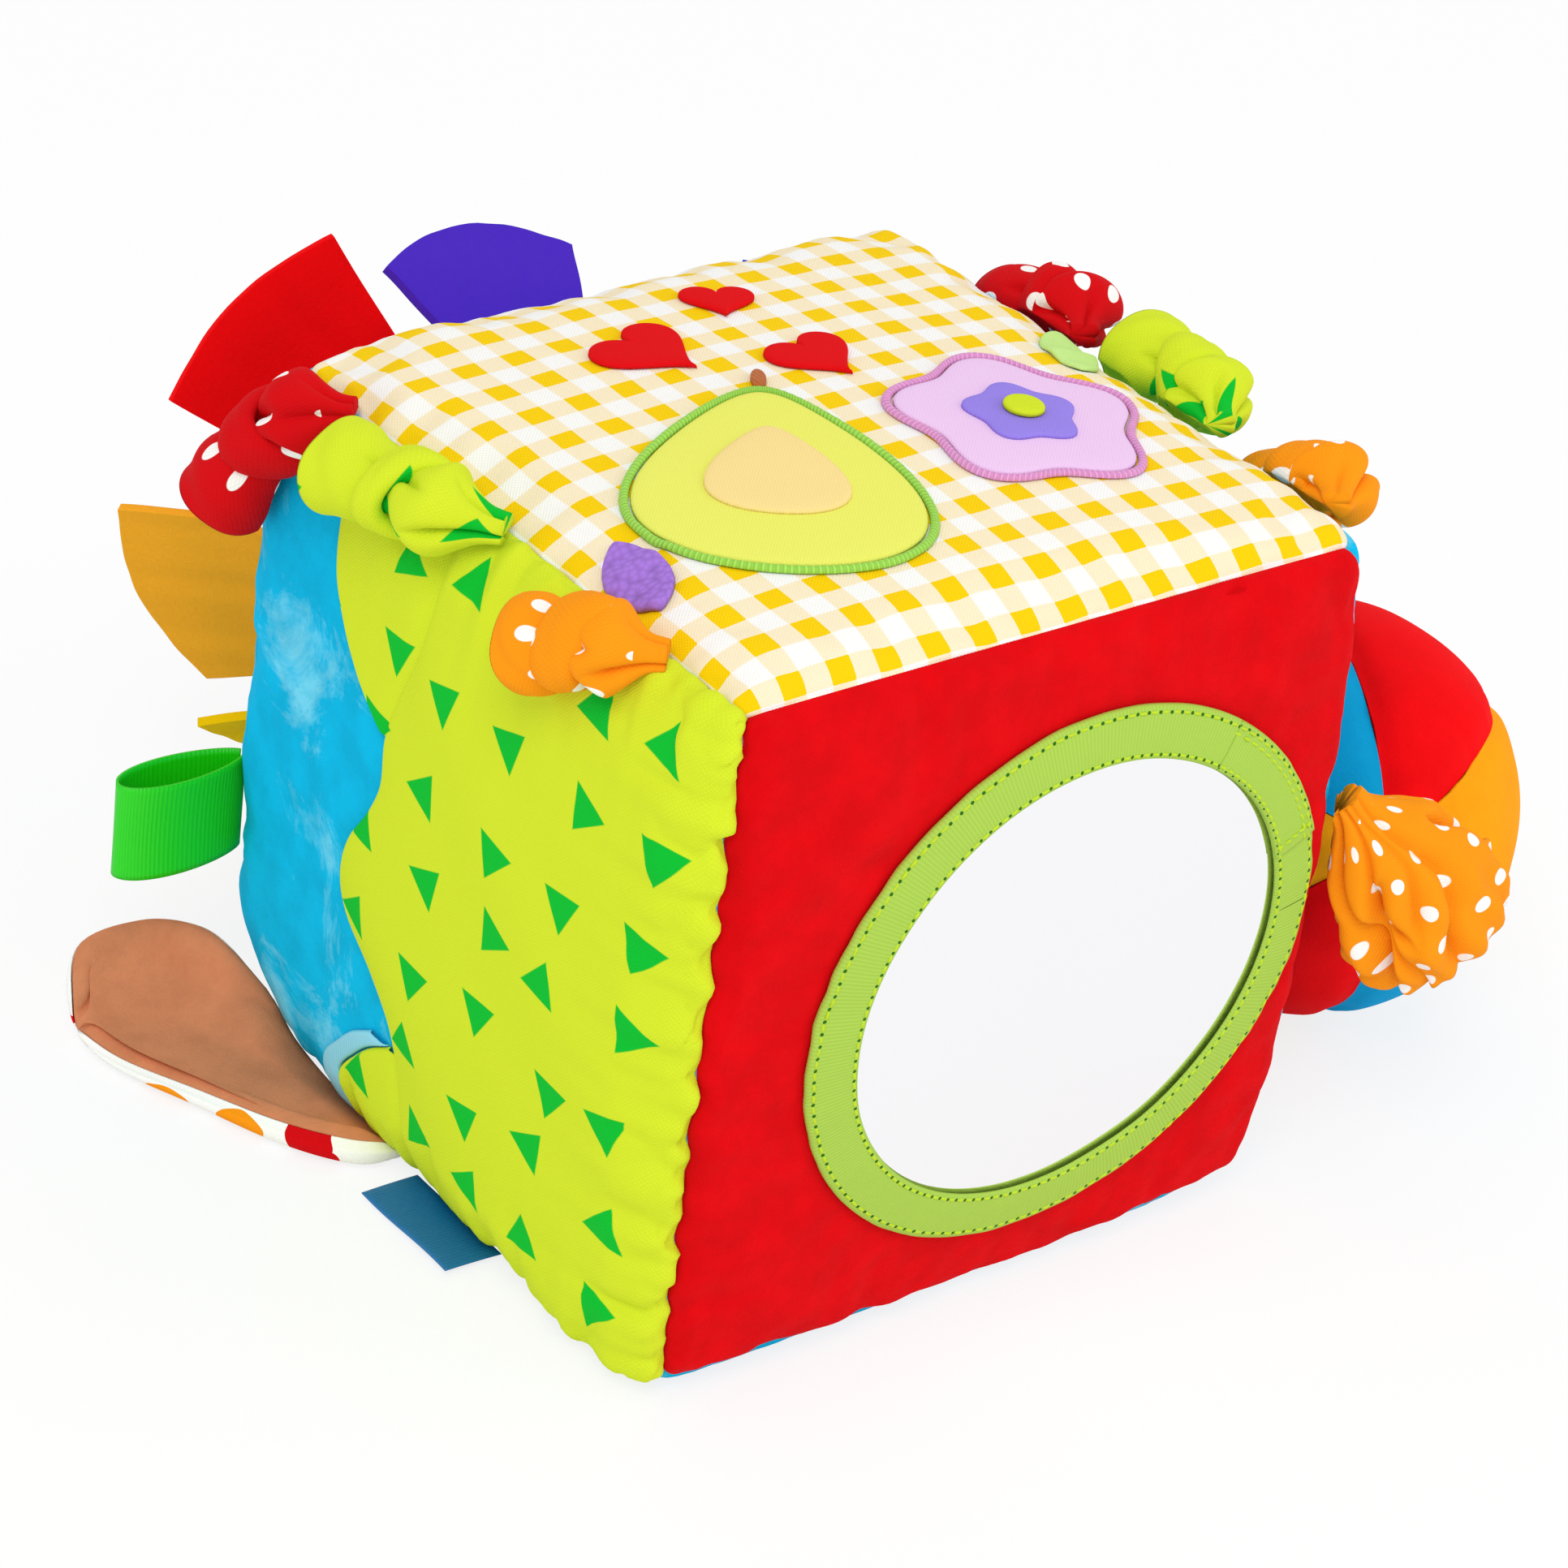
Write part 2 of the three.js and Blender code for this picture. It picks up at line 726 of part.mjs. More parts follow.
function topPatch(name, place_share, outline, rings, turns, colour, low = seat_gap, thick = applique_thick) {
  const geometry = patchGeometry(faces.top, shareOf(place_share), outline, rings, turns, low, low + thick);
  addPiece(name, geometry, colour, 0.85);
}

function satinBand(name, place_share, outline, turns, colour) {
  const top = seat_gap + satin_thick;
  const section = [
    [seat_gap, seat_gap],
    [satin_width, seat_gap],
    [satin_width, top],
    [seat_gap, top],
  ];
  addPiece(name, bandGeometry(faces.top, shareOf(place_share), outline, turns, section), colour, 0.6);
}

// A heart with its point down; its two lobes come from the classic sum of cosines.
const heart_wave_shares = [13 / 32, -5 / 32, -2 / 32, -1 / 32];
function heartOutline(width) {
  return (turn) => {
    const a = radians(-turn * 360);
    const up_share = heart_wave_shares.reduce((sum, share, k) => sum + share * Math.cos((k + 1) * a), 0);
    return [(width / 2) * Math.sin(a) ** 3, width * up_share];
  };
}

heart_widths.forEach((width, k) => {
  const outline = turned(heartOutline(width), heart_angles[k]);
  topPatch("heart_" + (k + 1), heart_place_shares[k], outline, 2, 28, 0xd9141c);
});

const pear_waist_share = 0.25;
function pearOutline(length, width) {
  return (turn) => {
    const a = radians(turn * 360);
    const side = Math.sin(a) + pear_waist_share * Math.sin(2 * a);
    return [(width / 2) * side, (-length / 2) * Math.cos(a)];
  };
}

function leafOutline(length, width) {
  return (turn) => {
    const a = radians(turn * 360);
    return [(length / 2) * Math.cos(a), (width / 2) * Math.sin(a) * Math.abs(Math.sin(a)) ** 0.5];
  };
}

function flowerOutline(radius) {
  return (turn) => {
    const a = radians(turn * 360);
    const r = radius * (1 + flower_wave_share * Math.cos(flower_petals * a));
    return [r * Math.cos(a), r * Math.sin(a)];
  };
}

const pear = turned(pearOutline(pear_length, pear_width), pear_angle);
topPatch("pear_patch", pear_place_share, pear, 3, 32, 0xe2ec5a);
satinBand("pear_border", pear_place_share, pear, 32, 0x9fdc4c);
const pear_core = turned(
  pearOutline(pear_length * pear_core_share, pear_width * pear_core_share),
  pear_angle,
);
topPatch("pear_core_patch", pear_place_share, pear_core, 2, 20, 0xf3d58a, applique_top + seat_gap);
const [stalk_right, stalk_up] = turned(
  () => [0, pear_length / 2 + satin_width + seat_gap + stalk_length / 2],
  pear_angle,
)(0);
const stalk_share = [
  pear_place_share[0] + stalk_right / cube_side,
  pear_place_share[1] + stalk_up / cube_side,
];
const stalk = turned((turn) => {
  const a = radians(turn * 360);
  return [(stalk_width / 2) * Math.cos(a), (stalk_length / 2) * Math.sin(a)];
}, pear_angle);
topPatch("pear_stalk", stalk_share, stalk, 1, 10, 0xb5602c);

const leaf = leafOutline(leaf_length, leaf_width);
topPatch("terry_leaf", terry_leaf_place_share, turned(leaf, terry_leaf_angle), 2, 18, 0xa476d6);
topPatch("pale_leaf", pale_leaf_place_share, turned(leaf, pale_leaf_angle), 2, 18, 0xc5e88c);
topPatch("flower_patch", flower_place_share, flowerOutline(flower_radius), 2, 30, 0xf0c6ee);
satinBand("flower_border", flower_place_share, flowerOutline(flower_radius), 30, 0xe48fd0);
const eye_low = applique_top + seat_gap;
const eye = flowerOutline(flower_eye_radius);
topPatch("flower_eye", flower_place_share, eye, 2, 20, 0x8c78dc, eye_low);
const spot_low = eye_low + applique_thick + seat_gap;
topPatch("flower_spot", flower_place_share, circle(flower_spot_radius), 1, 12, 0xb6dc3c, spot_low);

// The gathered tails and the puff

// The cover and its hills with the seat's gap round them, which the soft hangings are cut back to.
const overHill = (side, pad) => (side ? 2 * seat_gap + pad : -cover_thick);
const to_seam = (rows) => rows.map((up) => Math.sign(up) * Math.min(Math.abs(up) + seam_trim, half));
const cover_envelope = [
  frontHillSheet(0, hill_rim, overHill),
  lobeSheet(upper_hill_shares, to_seam(upper_rows), hill_rim, overHill),
  lobeSheet(lower_hill_shares, to_seam(lower_rows), edging_width + hill_rim, overHill),
].reduce((whole, sheet) => whole.add(solidOf(sheet)), solidOf(skinBlock(14, seat_gap)));

// Cuts a hanging clear of the cover at rest and through the swing about its seat, between two angles in degrees.
function clearOfCover(hanging, seat, swing_axis, [low_angle, high_angle]) {
  const nearby = welded(new THREE.BoxGeometry(swing_reach * 2, swing_reach * 2, swing_reach * 2));
  const cover_here = geometryOf(cover_envelope.intersect(solidOf(nearby.translate(...seat.toArray()))));
  const stops = steps(Math.ceil(Math.abs(high_angle - low_angle) / swing_step_angle));
  const passed = stops.map((share) => {
    const turn = new THREE.Matrix4().makeRotationAxis(swing_axis, -radians(mix(low_angle, high_angle, share)));
    const there = new THREE.Matrix4().makeTranslation(seat);
    const matrix = there.clone().multiply(turn).multiply(there.clone().invert());
    return solidOf(cover_here.clone().applyMatrix4(matrix));
  });
  return passed.reduce((left, cover) => left.subtract(cover), hanging.subtract(cover_envelope));
}

// A tube along a spine whose section turns with it; radiusAt(share, angle) gives the section.
function gatheredTube(spine_points, rings, sides, radiusAt, flat_share, flat_axis) {
  const spine = new THREE.CatmullRomCurve3(spine_points);
  return closedTube(rings, sides, (share, turn) => {
    const angle = radians(turn * 360);
    const along = spine.getTangentAt(share).normalize();
    const across = new THREE.Vector3().crossVectors(flat_axis, along).normalize();
    const over = new THREE.Vector3().crossVectors(along, across);
    const radius = radiusAt(share, angle);
    return spine
      .getPointAt(share)
      .addScaledVector(across, radius * Math.cos(angle))
      .addScaledVector(over, radius * flat_share * Math.sin(angle));
  });
}

// Root, bulge, pinch and end of a tail, with pleats that run along it and twist a little.
const tail_radii = [
  [0, tail_root_radius],
  [0.12, tail_root_radius],
  [0.38, tail_bulge_radius],
  [0.6, tail_pinch_radius],
  [0.84, tail_end_radius],
  [0.96, tail_end_radius * 0.6],
  [1, tail_root_radius / 2],
];

function tailRadius(share, angle) {
  const pleat = 1 + tail_pleat_share * Math.cos(tail_pleats * (angle + radians(tail_twist_angle * share)));
  return curveAt(tail_radii, share) * pleat;
}

// Each row is a spine point's share of the tail's length, of its reach out from the cube and of its drop
const tail_spine_shares = [
  [0, 0, 0],
  [0.3, 0.75, 0.1],
  [0.65, 1, 0.45],
  [1, 1.2, 1],
];

function tailGeometry({ side, root, length, drop, swing_angle }) {
  const seat = skin(faces.top, side * half, root, tail_root_radius + seat_gap);
  const spine = tail_spine_shares.map(([along, out, down]) =>
    new THREE.Vector3(side * out * tail_reach, along * length, -down * drop).add(seat),
  );
  const tube = gatheredTube(spine, tail_rings, tail_sides, tailRadius, 1, axis.z);
  return geometryOf(clearOfCover(solidOf(tube), seat, axis.z, [0, -side * swing_angle]));
}

const tail_colours = { red: 0xd5121c, lime: 0xcfe12d, orange: 0xff9410 };
for (const [name, tail] of Object.entries(tails)) {
  addPiece(name, tailGeometry(tail), tail_colours[name.split("_")[1]], 0.85);
}

const puff_radii = [
  [0, puff_root_radius],
  [0.12, puff_root_radius * 1.3],
  [0.4, puff_radius * 0.8],
  [0.65, puff_radius],
  [0.88, puff_radius * 0.85],
  [1, puff_radius * 0.35],
];

function puffGeometry() {
  const seat = skin(faces.mirror, half, puff_root_height - half, puff_root_radius * puff_flat_share + seat_gap);
  const [right, down] = [Math.cos(radians(puff_fall_angle)), Math.sin(radians(puff_fall_angle))];
  const at = (along) => {
    const forward = puff_lean * ease(along / puff_length);
    return new THREE.Vector3(along * right, -forward, -along * down).add(seat);
  };
  const spine = [0, 0.33, 0.66, 1].map((share) => at(share * puff_length));
  const radiusAt = (share, angle) => {
    const pleat = 1 + puff_pleat_share * Math.cos(puff_pleats * angle) * ease(share * 3);
    return curveAt(puff_radii, share) * pleat;
  };
  const tube = gatheredTube(spine, puff_rings, puff_sides, radiusAt, puff_flat_share, axis.y);
  return geometryOf(clearOfCover(solidOf(tube), seat, axis.z, [-puff_swing_angle, 0]));
}

addPiece("orange_puff", puffGeometry(), 0xff9410, 0.85);

// The stuffed ball

const ball_middle = new THREE.Vector3(0, -ball_forward, ball_radius + ball_floor_gap);
const ball_seat = skin(faces.right, ball_middle.y, ball_middle.z - half, seat_gap);
ball_middle.x = ball_seat.x + ball_tape_length + ball_radius;
const ball_pole = new THREE.Vector3(...ball_pole_share).normalize();
const ball_side = new THREE.Vector3(...ball_seam_share).projectOnPlane(ball_pole).normalize();
const ball_turn = new THREE.Vector3().crossVectors(ball_pole, ball_side);

// A point of the ball: longitude round the pole from the first seam, latitude from the pole.
function ballPoint(longitude, latitude, radius) {
  const equator = Math.sin(latitude);
  return ball_middle
    .clone()
    .addScaledVector(ball_pole, radius * Math.cos(latitude))
    .addScaledVector(ball_side, radius * equator * Math.cos(longitude))
    .addScaledVector(ball_turn, radius * equator * Math.sin(longitude));
}

const wedge_angle = radians(360 / ball_wedges);
function wedgeGeometry(k) {
  const cap = ball_pole_cap / ball_radius;
  return closedSheet(steps(wedge_along), steps(wedge_across), (along, across, side) => {
    const latitude = mix(cap, radians(180) - cap, along);
    const trim = (seam_trim / 2 / ball_radius) / Math.sin(latitude);
    const longitude = mix(k * wedge_angle + trim, (k + 1) * wedge_angle - trim, across);
    const from_seam = Math.min(across, 1 - across) * wedge_angle * ball_radius * Math.sin(latitude);
    const dip = ball_seam_dip * bell(from_seam, seam_dip_reach) * Math.sin(latitude);
    return ballPoint(longitude, latitude, ball_radius - dip - (side ? 0 : ball_cover));
  });
}

const wedge_colours = { red: 0xe8121a, orange: 0xff9410, blue: 0x169fd8 };
const wedge_order = ["red", "blue", "orange", "red", "blue", "orange"];
for (let k = 0; k < ball_wedges; k++) {
  const name = "ball_" + wedge_order[k] + "_wedge_" + (k < ball_wedges / 2 ? 1 : 2);
  addPiece(name, wedgeGeometry(k), wedge_colours[wedge_order[k]], 0.9);
}

const filling_radius = ball_radius - ball_cover - ball_seam_dip - seat_gap;
const filling = welded(new THREE.SphereGeometry(filling_radius, 18, 12));
addPiece("ball_filling", filling.translate(...ball_middle.toArray()), 0xf6f4ee, 1);

// The tape that sews the ball to the panel, standing upright between them
const ball_tape = welded(new THREE.BoxGeometry(cut_overrun, ball_tape_thick, ball_tape_width));
ball_tape.translate(ball_seat.x + cut_overrun / 2, ball_middle.y, ball_middle.z);
const ball_hull = welded(new THREE.SphereGeometry(ball_radius + seat_gap, 40, 30));
ball_hull.translate(...ball_middle.toArray());
const ball_tape_solid = solidOf(ball_tape).subtract(solidOf(ball_hull)).subtract(cover_envelope);
addPiece("ball_tape", geometryOf(ball_tape_solid), 0x12b4e6, 1);

// The petals round their hub

const hub_low = seat_gap;
const hub_high = hub_low + petal_hub_thick;
addPiece(
  "petal_hub",
  patchGeometry(faces.back, [0, 0], circle(petal_hub_radius), 3, 32, hub_low, hub_high),
  0xffd21e,
  1,
);

function petalGeometry({ turn, tilt }) {
  const up = new THREE.Vector3(-Math.sin(radians(turn)), 0, Math.cos(radians(turn)));
  const across = new THREE.Vector3(-Math.cos(radians(turn)), 0, -Math.sin(radians(turn)));
  const root_reach = petal_hub_radius + seat_gap + petal_thick / 2;
  const root = skin(faces.back, -up.x * root_reach, up.z * root_reach, petal_root_lift).clone();
  const along = up.clone().multiplyScalar(Math.cos(radians(tilt))).addScaledVector(axis.y, Math.sin(radians(tilt)));
  const over = new THREE.Vector3().crossVectors(along, across).normalize();
  const half_angle = radians(petal_half_angle);
  return closedSheet(steps(4), steps(6), (s, t, side) => {
    const angle = mix(-half_angle, half_angle, t);
    const reach = mix(root_reach, petal_reach * Math.cos(angle), s);
    const width_reach = mix(root_reach, petal_reach, s);
    const curl = petal_curl * (1 - Math.cos(radians(s * 180))) / 2;
    const thick = (side ? 1 : -1) * (petal_thick / 2);
    return root
      .clone()
      .addScaledVector(along, reach - root_reach)
      .addScaledVector(across, width_reach * Math.sin(angle))
      .addScaledVector(over, thick - curl);
  });
}

for (const [name, petal] of Object.entries(petals)) {
  addPiece(name, petalGeometry(petal), petal.colour, 0.75);
}

// The ribbon loop

// The ribbon's middle line seen from above, from one sewn end round the loop to the other: a slim drop shape.
const ribbon_slim_share = 0.55;
const ribbon_end_share = 0.035;
const ribbon_tangent_share = 0.01;
function ribbonLine(share) {
  const a = radians((share - 0.5) * 360);
  const belly = mix(ribbon_slim_share, 1, Math.cos(a / 2));
  return new THREE.Vector2((-ribbon_reach / 2) * (1 + Math.cos(a)), (ribbon_open / 2) * Math.sin(a) * belly);
}

function ribbonGeometry() {
  const root = skin(faces.left, -half, ribbon_height - half, ribbon_thick / 2 + seat_gap);
  const shares = steps(ribbon_steps * 2).map((share) => mix(ribbon_end_share, 1 - ribbon_end_share, share));
  const band = closedSheet(shares, [-ribbon_width / 2, ribbon_width / 2], (share, height, side) => {
    const here = ribbonLine(share);
    const before = ribbonLine(share - ribbon_tangent_share);
    const ahead = ribbonLine(share + ribbon_tangent_share).sub(before).normalize();
    const shift = (side ? 1 : -1) * (ribbon_thick / 2);
    return new THREE.Vector3(here.x + ahead.y * shift, here.y - ahead.x * shift, height).add(root);
  });
  return geometryOf(clearOfCover(solidOf(band), root, axis.z, [-ribbon_swing_angle, ribbon_swing_angle]));
}

addPiece("ribbon_loop", ribbonGeometry(), 0x1fd200, 0.5);

// The ear

const ear_curves = [ear_near_shares, ear_far_shares].map(
  (rows) => new THREE.CatmullRomCurve3(rows.map(([x, y]) => new THREE.Vector3(x * cube_side, y * cube_side, 0))),
);

// How far a place of the ear is past its thin sewn root.
function pastRoot(point) {
  return ease((-half - point.x) / ear_root_reach);
}

// The ear lifts about the top of its sewn root.
const ear_hinge = new THREE.Vector3(seat_gap - half, ear_hinge_forward, ear_hinge_height);

// The seam between the ear's two layers: cupped across, and rising from the root to the tip.
const ear_root_height = ear_floor_gap + ear_lining_thick + seat_gap / 2;
function earPoint(s, t) {
  const [near, far] = ear_curves.map((curve) => curve.getPoint(s));
  const point = near.lerp(far, t);
  const cup = ear_hollow * (1 - Math.sin(radians(t * 180))) * Math.sin(radians(s * 180));
  point.z = ear_root_height + ear_tip_height * s ** 1.5 + cup * pastRoot(point);
  return point;
}

function earLayer(low, high) {
  const lengths = steps(8).map((share) => share * ear_tip_share);
  const sheet = closedSheet(steps(6), lengths, (t, s, side) => {
    const point = earPoint(s, t);
    const lift = side ? high : low;
    point.z += Math.sign(lift) * mix(Math.min(Math.abs(lift), ear_root_thick), Math.abs(lift), pastRoot(point));
    return point;
  });
  return geometryOf(clearOfCover(solidOf(sheet), ear_hinge, axis.y, [0, ear_lift_angle]));
}

addPiece("ear_plush", earLayer(seat_gap / 2, ear_plush_thick), 0xb9704b, 1);
addPiece("ear_lining", earLayer(-ear_lining_thick, -seat_gap / 2), 0xf4f2ee, 0.85);

// The side label

function labelGeometry() {
  const seam = half - edge_round * (1 - Math.SQRT1_2) + seat_gap;
  const root_height = edge_round * (1 - Math.SQRT1_2) - label_thick / 2 - seat_gap;
  const plate = welded(new THREE.BoxGeometry(label_width, label_length, label_thick));
  plate.translate(-seam - label_width / 2, -label_forward, root_height - label_drop / 2);
  const hinge = new THREE.Vector3(-seam, -label_forward, root_height);
  return geometryOf(clearOfCover(solidOf(plate), hinge, axis.y, [0, label_lift_angle]));
}

addPiece("side_label", labelGeometry(), 0x0073b9, 0.6);

export default activity_cube;
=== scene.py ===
import json
import math

import bpy
import numpy as np
from bpy.props import FloatProperty, FloatVectorProperty, IntProperty, PointerProperty
from bpy.types import NodeSocket, Operator, Panel, PropertyGroup
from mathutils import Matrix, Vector


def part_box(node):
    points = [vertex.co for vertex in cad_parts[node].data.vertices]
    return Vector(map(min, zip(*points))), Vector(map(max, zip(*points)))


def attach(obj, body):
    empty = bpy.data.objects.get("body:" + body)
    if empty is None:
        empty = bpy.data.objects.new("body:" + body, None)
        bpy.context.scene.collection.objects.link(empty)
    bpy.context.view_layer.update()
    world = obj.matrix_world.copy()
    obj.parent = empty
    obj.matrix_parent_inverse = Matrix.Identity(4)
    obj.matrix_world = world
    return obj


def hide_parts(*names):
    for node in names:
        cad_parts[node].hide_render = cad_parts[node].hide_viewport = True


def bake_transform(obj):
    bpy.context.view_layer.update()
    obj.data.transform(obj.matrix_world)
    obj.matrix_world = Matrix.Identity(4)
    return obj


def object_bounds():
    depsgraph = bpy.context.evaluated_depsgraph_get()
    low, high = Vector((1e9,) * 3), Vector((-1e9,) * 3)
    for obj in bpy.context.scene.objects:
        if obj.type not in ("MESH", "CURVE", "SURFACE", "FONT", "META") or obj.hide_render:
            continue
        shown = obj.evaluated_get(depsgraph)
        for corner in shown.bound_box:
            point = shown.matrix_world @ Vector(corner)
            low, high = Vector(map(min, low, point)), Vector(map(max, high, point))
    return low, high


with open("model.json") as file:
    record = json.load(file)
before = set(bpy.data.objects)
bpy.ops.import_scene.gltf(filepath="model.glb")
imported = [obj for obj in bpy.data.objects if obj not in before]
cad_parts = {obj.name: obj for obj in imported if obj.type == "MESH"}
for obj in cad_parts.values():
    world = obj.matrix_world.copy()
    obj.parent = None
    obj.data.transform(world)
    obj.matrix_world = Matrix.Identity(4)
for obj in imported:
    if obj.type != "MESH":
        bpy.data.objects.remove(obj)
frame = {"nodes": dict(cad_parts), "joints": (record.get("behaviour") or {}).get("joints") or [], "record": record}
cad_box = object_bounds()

bl_info = {
    "name": "Soft Activity Cube",
    "version": (1, 0, 0),
    "blender": (4, 5, 0),
    "location": "View3D > Sidebar > Activity Cube",
    "description": "Makes the cloth, plush and mirror of a soft activity cube round its packed frame",
    "category": "Object",
}

MM = 0.001
BODY_OF = {
    node: body for body, nodes in frame["record"]["behaviour"]["bodies"].items() for node in nodes
}
JOINTS = {joint["name"]: joint for joint in frame["joints"]}

# Right and up of each panel, seen from outside
FACES = {
    "top": ((1, 0, 0), (0, 1, 0)),
    "mirror": ((1, 0, 0), (0, 0, 1)),
    "left": ((0, -1, 0), (0, 0, 1)),
    "back": ((-1, 0, 0), (0, 0, 1)),
    "right": ((0, 1, 0), (0, 0, 1)),
    "base": ((1, 0, 0), (0, -1, 0)),
}

# The corners, mirror left, mirror right, back right and back left, and how far each is drawn in
CORNER_SIGNS = ((-1, -1), (1, -1), (1, 1), (-1, 1))
BOTTOM_TUCK_SHARES = (0.1, 0.35, 0.6, 1)
TOP_TUCK_SHARES = (0.1, 0.1, 0.1, 0.35)

# Cells of the cover crowd towards its seams by this power
SEAM_CROWDING = 1.5

# Hill lines: a height share from the top seam and a share from the back seam
FRONT_HILL_SHARES = [
    [0, 0.45], [0.12, 0.455], [0.2, 0.445], [0.28, 0.415], [0.345, 0.4], [0.41, 0.404],
    [0.46, 0.385], [0.52, 0.35], [0.58, 0.338], [0.63, 0.355], [0.68, 0.41], [0.74, 0.455],
    [0.83, 0.476], [0.92, 0.482], [1, 0.478],
]
UPPER_HILL_SHARES = [
    [0, 0.236], [0.1, 0.234], [0.19, 0.247], [0.25, 0.282], [0.3, 0.328], [0.345, 0.385],
]
LOWER_HILL_SHARES = [
    [0.78, 0.45], [0.81, 0.405], [0.85, 0.365], [0.89, 0.333], [0.94, 0.335], [1, 0.35],
]

# Sewn pictures on the top: place as shares of the side, angle in degrees
HEARTS = {
    "heart_1": {"width": 22 * MM, "place": (-0.113, 0.233), "angle": 20},
    "heart_2": {"width": 15 * MM, "place": (0.063, 0.316), "angle": -25},
    "heart_3": {"width": 19 * MM, "place": (0.073, 0.127), "angle": 10},
}
HEART_WAVE_SHARES = (13 / 32, -5 / 32, -2 / 32, -1 / 32)
PEAR_PLACE_SHARE = (-0.167, -0.11)
PEAR_WAIST_SHARE = 0.25
FLOWER_PLACE_SHARE = (0.215, -0.118)
FLOWER_WAVE_SHARE = 0.11
LEAVES = {
    "terry_leaf": {"place": (-0.438, -0.205), "angle": 78},
    "pale_leaf": {"place": (0.43, 0.035), "angle": 60},
}

# The tape's section: a share of its width from the inner edge, and its height in millimetres
RING_SECTION = [
    [0, 1.65], [0, 2.05], [0.02, 2.25], [0.06, 2.32], [0.3, 2.3], [0.5, 2.15], [0.7, 1.95],
    [0.92, 1.75], [0.98, 1.6], [1, 1.3], [1, 0.35], [0.75, 0.3], [0.46, 0.3], [0.44, 1.6],
    [0.2, 1.62], [0, 1.65],
]
RING_TOP = RING_SECTION[1:10]
# Stitch rows: a share of the tape's width from its inner edge
STITCH_ROWS = {"inner": 0.1, "outer": 0.87}
DOUBLED_ROW_SHARE = 0.74
CROSS_ROW_SHARES = (0.12, 0.86)
CROSS_STITCHES = 5
CROSS_STITCH_SHARE = 0.185
# How far along a turn these two rows lie from the tape's end and its other stitches
CROSS_ROW_SHIFT = 0.009
DOUBLED_ROW_SHIFT = 0.002
# The lapped end of the tape: from and to a share of a turn, and how much it stands up
TAPE_LAP = (0.045, 0.155)
TAPE_LAP_THICK = 0.45 * MM

# Tails: side, length, drop of the free end, folds, and how their cloth is printed
TAILS = {
    "left_red_tail": {"side": -1, "length": 25 * MM, "drop": 27 * MM, "seed": 1},
    "left_lime_tail": {"side": -1, "length": 38 * MM, "drop": 3 * MM, "seed": 2},
    "left_orange_tail": {"side": -1, "length": 25 * MM, "drop": 8 * MM, "seed": 3},
    "right_red_tail": {"side": 1, "length": 34 * MM, "drop": 12 * MM, "seed": 4},
    "right_lime_tail": {"side": 1, "length": 35 * MM, "drop": 3 * MM, "seed": 5},
    "right_orange_tail": {"side": 1, "length": 26 * MM, "drop": 14 * MM, "seed": 6},
}
# A spine point's share of the tail's length, of its reach out and of its drop
TAIL_SPINE_SHARES = [[0, 0, 0], [0.3, 0.75, 0.1], [0.65, 1, 0.45], [1, 1.2, 1]]
# Radii in millimetres at shares of the length
TAIL_RADII = [
    [0, 3], [0.12, 4], [0.32, 9], [0.44, 7.6], [0.56, 5], [0.68, 6.6], [0.86, 9.2], [0.97, 9.6], [1, 9.6],
]
PUFF_RADII = [[0, 4], [0.12, 5.5], [0.4, 14.8], [0.65, 18], [0.88, 17.2], [0.97, 15.8], [1, 14.8]]
# Where along a gathered tail or puff its cloth turns in at the open end, and how far it goes in
RIM_SHARE = 0.8
RIM_DEPTH_SHARE = 0.35

# The ball's pole and the side where its first wedge starts, as directions
BALL_POLE = (-0.36, -0.83, 0.36)
BALL_SIDE = (0.81, -0.24, 0.54)
WEDGES = (
    "ball_red_wedge_1", "ball_blue_wedge_1", "ball_orange_wedge_1",
    "ball_red_wedge_2", "ball_blue_wedge_2", "ball_orange_wedge_2",
)

# A petal's cut: angles from its middle in degrees and its reach there in millimetres
PETAL_CUT = [[-15.5, 88], [0, 88], [15.5, 88]]
# Where a petal's root starts and ends, as angles from its middle
PETAL_ROOT = (-15.5, 15.5)
# Petals: their turn from straight up and their tilt off the panel, in degrees
PETALS = {
    "purple": {
        "colour": "#4F2AC4", "turn": -17, "tilt": 59, "cut": [[-16, 90], [-6, 90], [4, 88], [23, 80]],
    },
    "red": {"colour": "#FA0004", "turn": 43, "tilt": 22, "cut": [[-15, 90], [0, 93], [14, 92]]},
    # The orange petal's colour is painted lighter than its felt, to make up for the shade that it lies in
    "orange": {
        "colour": "#FFB028", "turn": 108, "tilt": 56, "cut": [[-17, 94], [-3, 91], [12, 82]],
        "root": (-33, 14),
    },
    "yellow": {"colour": "#FFD000", "turn": 153, "tilt": 51},
    "green": {"colour": "#18B828", "turn": 203, "tilt": 52},
    "blue": {"colour": "#12A4E8", "turn": 248, "tilt": 30},
    "indigo": {"colour": "#2C44C8", "turn": 290, "tilt": 24},
}

# The ear's two edges on the floor, as shares of the side
EAR_NEAR_SHARES = [
    [-0.482, 0.08], [-0.545, 0.098], [-0.605, 0.18], [-0.66, 0.31], [-0.706, 0.42], [-0.722, 0.52],
]
EAR_FAR_SHARES = [
    [-0.482, 0.38], [-0.512, 0.46], [-0.528, 0.53], [-0.57, 0.6], [-0.66, 0.615], [-0.722, 0.52],
]
# Along the ear: how high its near edge, hollow and far edge lie over its foot, in millimetres
EAR_LIFTS = [
    [0, 1.2, 0, 4], [0.1, 3.6, 0, 11], [0.22, 4.4, 0, 15.5], [0.4, 3.8, 0, 16],
    [0.6, 2.6, 0.2, 13], [0.8, 2, 0.5, 9.5], [1, 2, 1.5, 3.5],
]
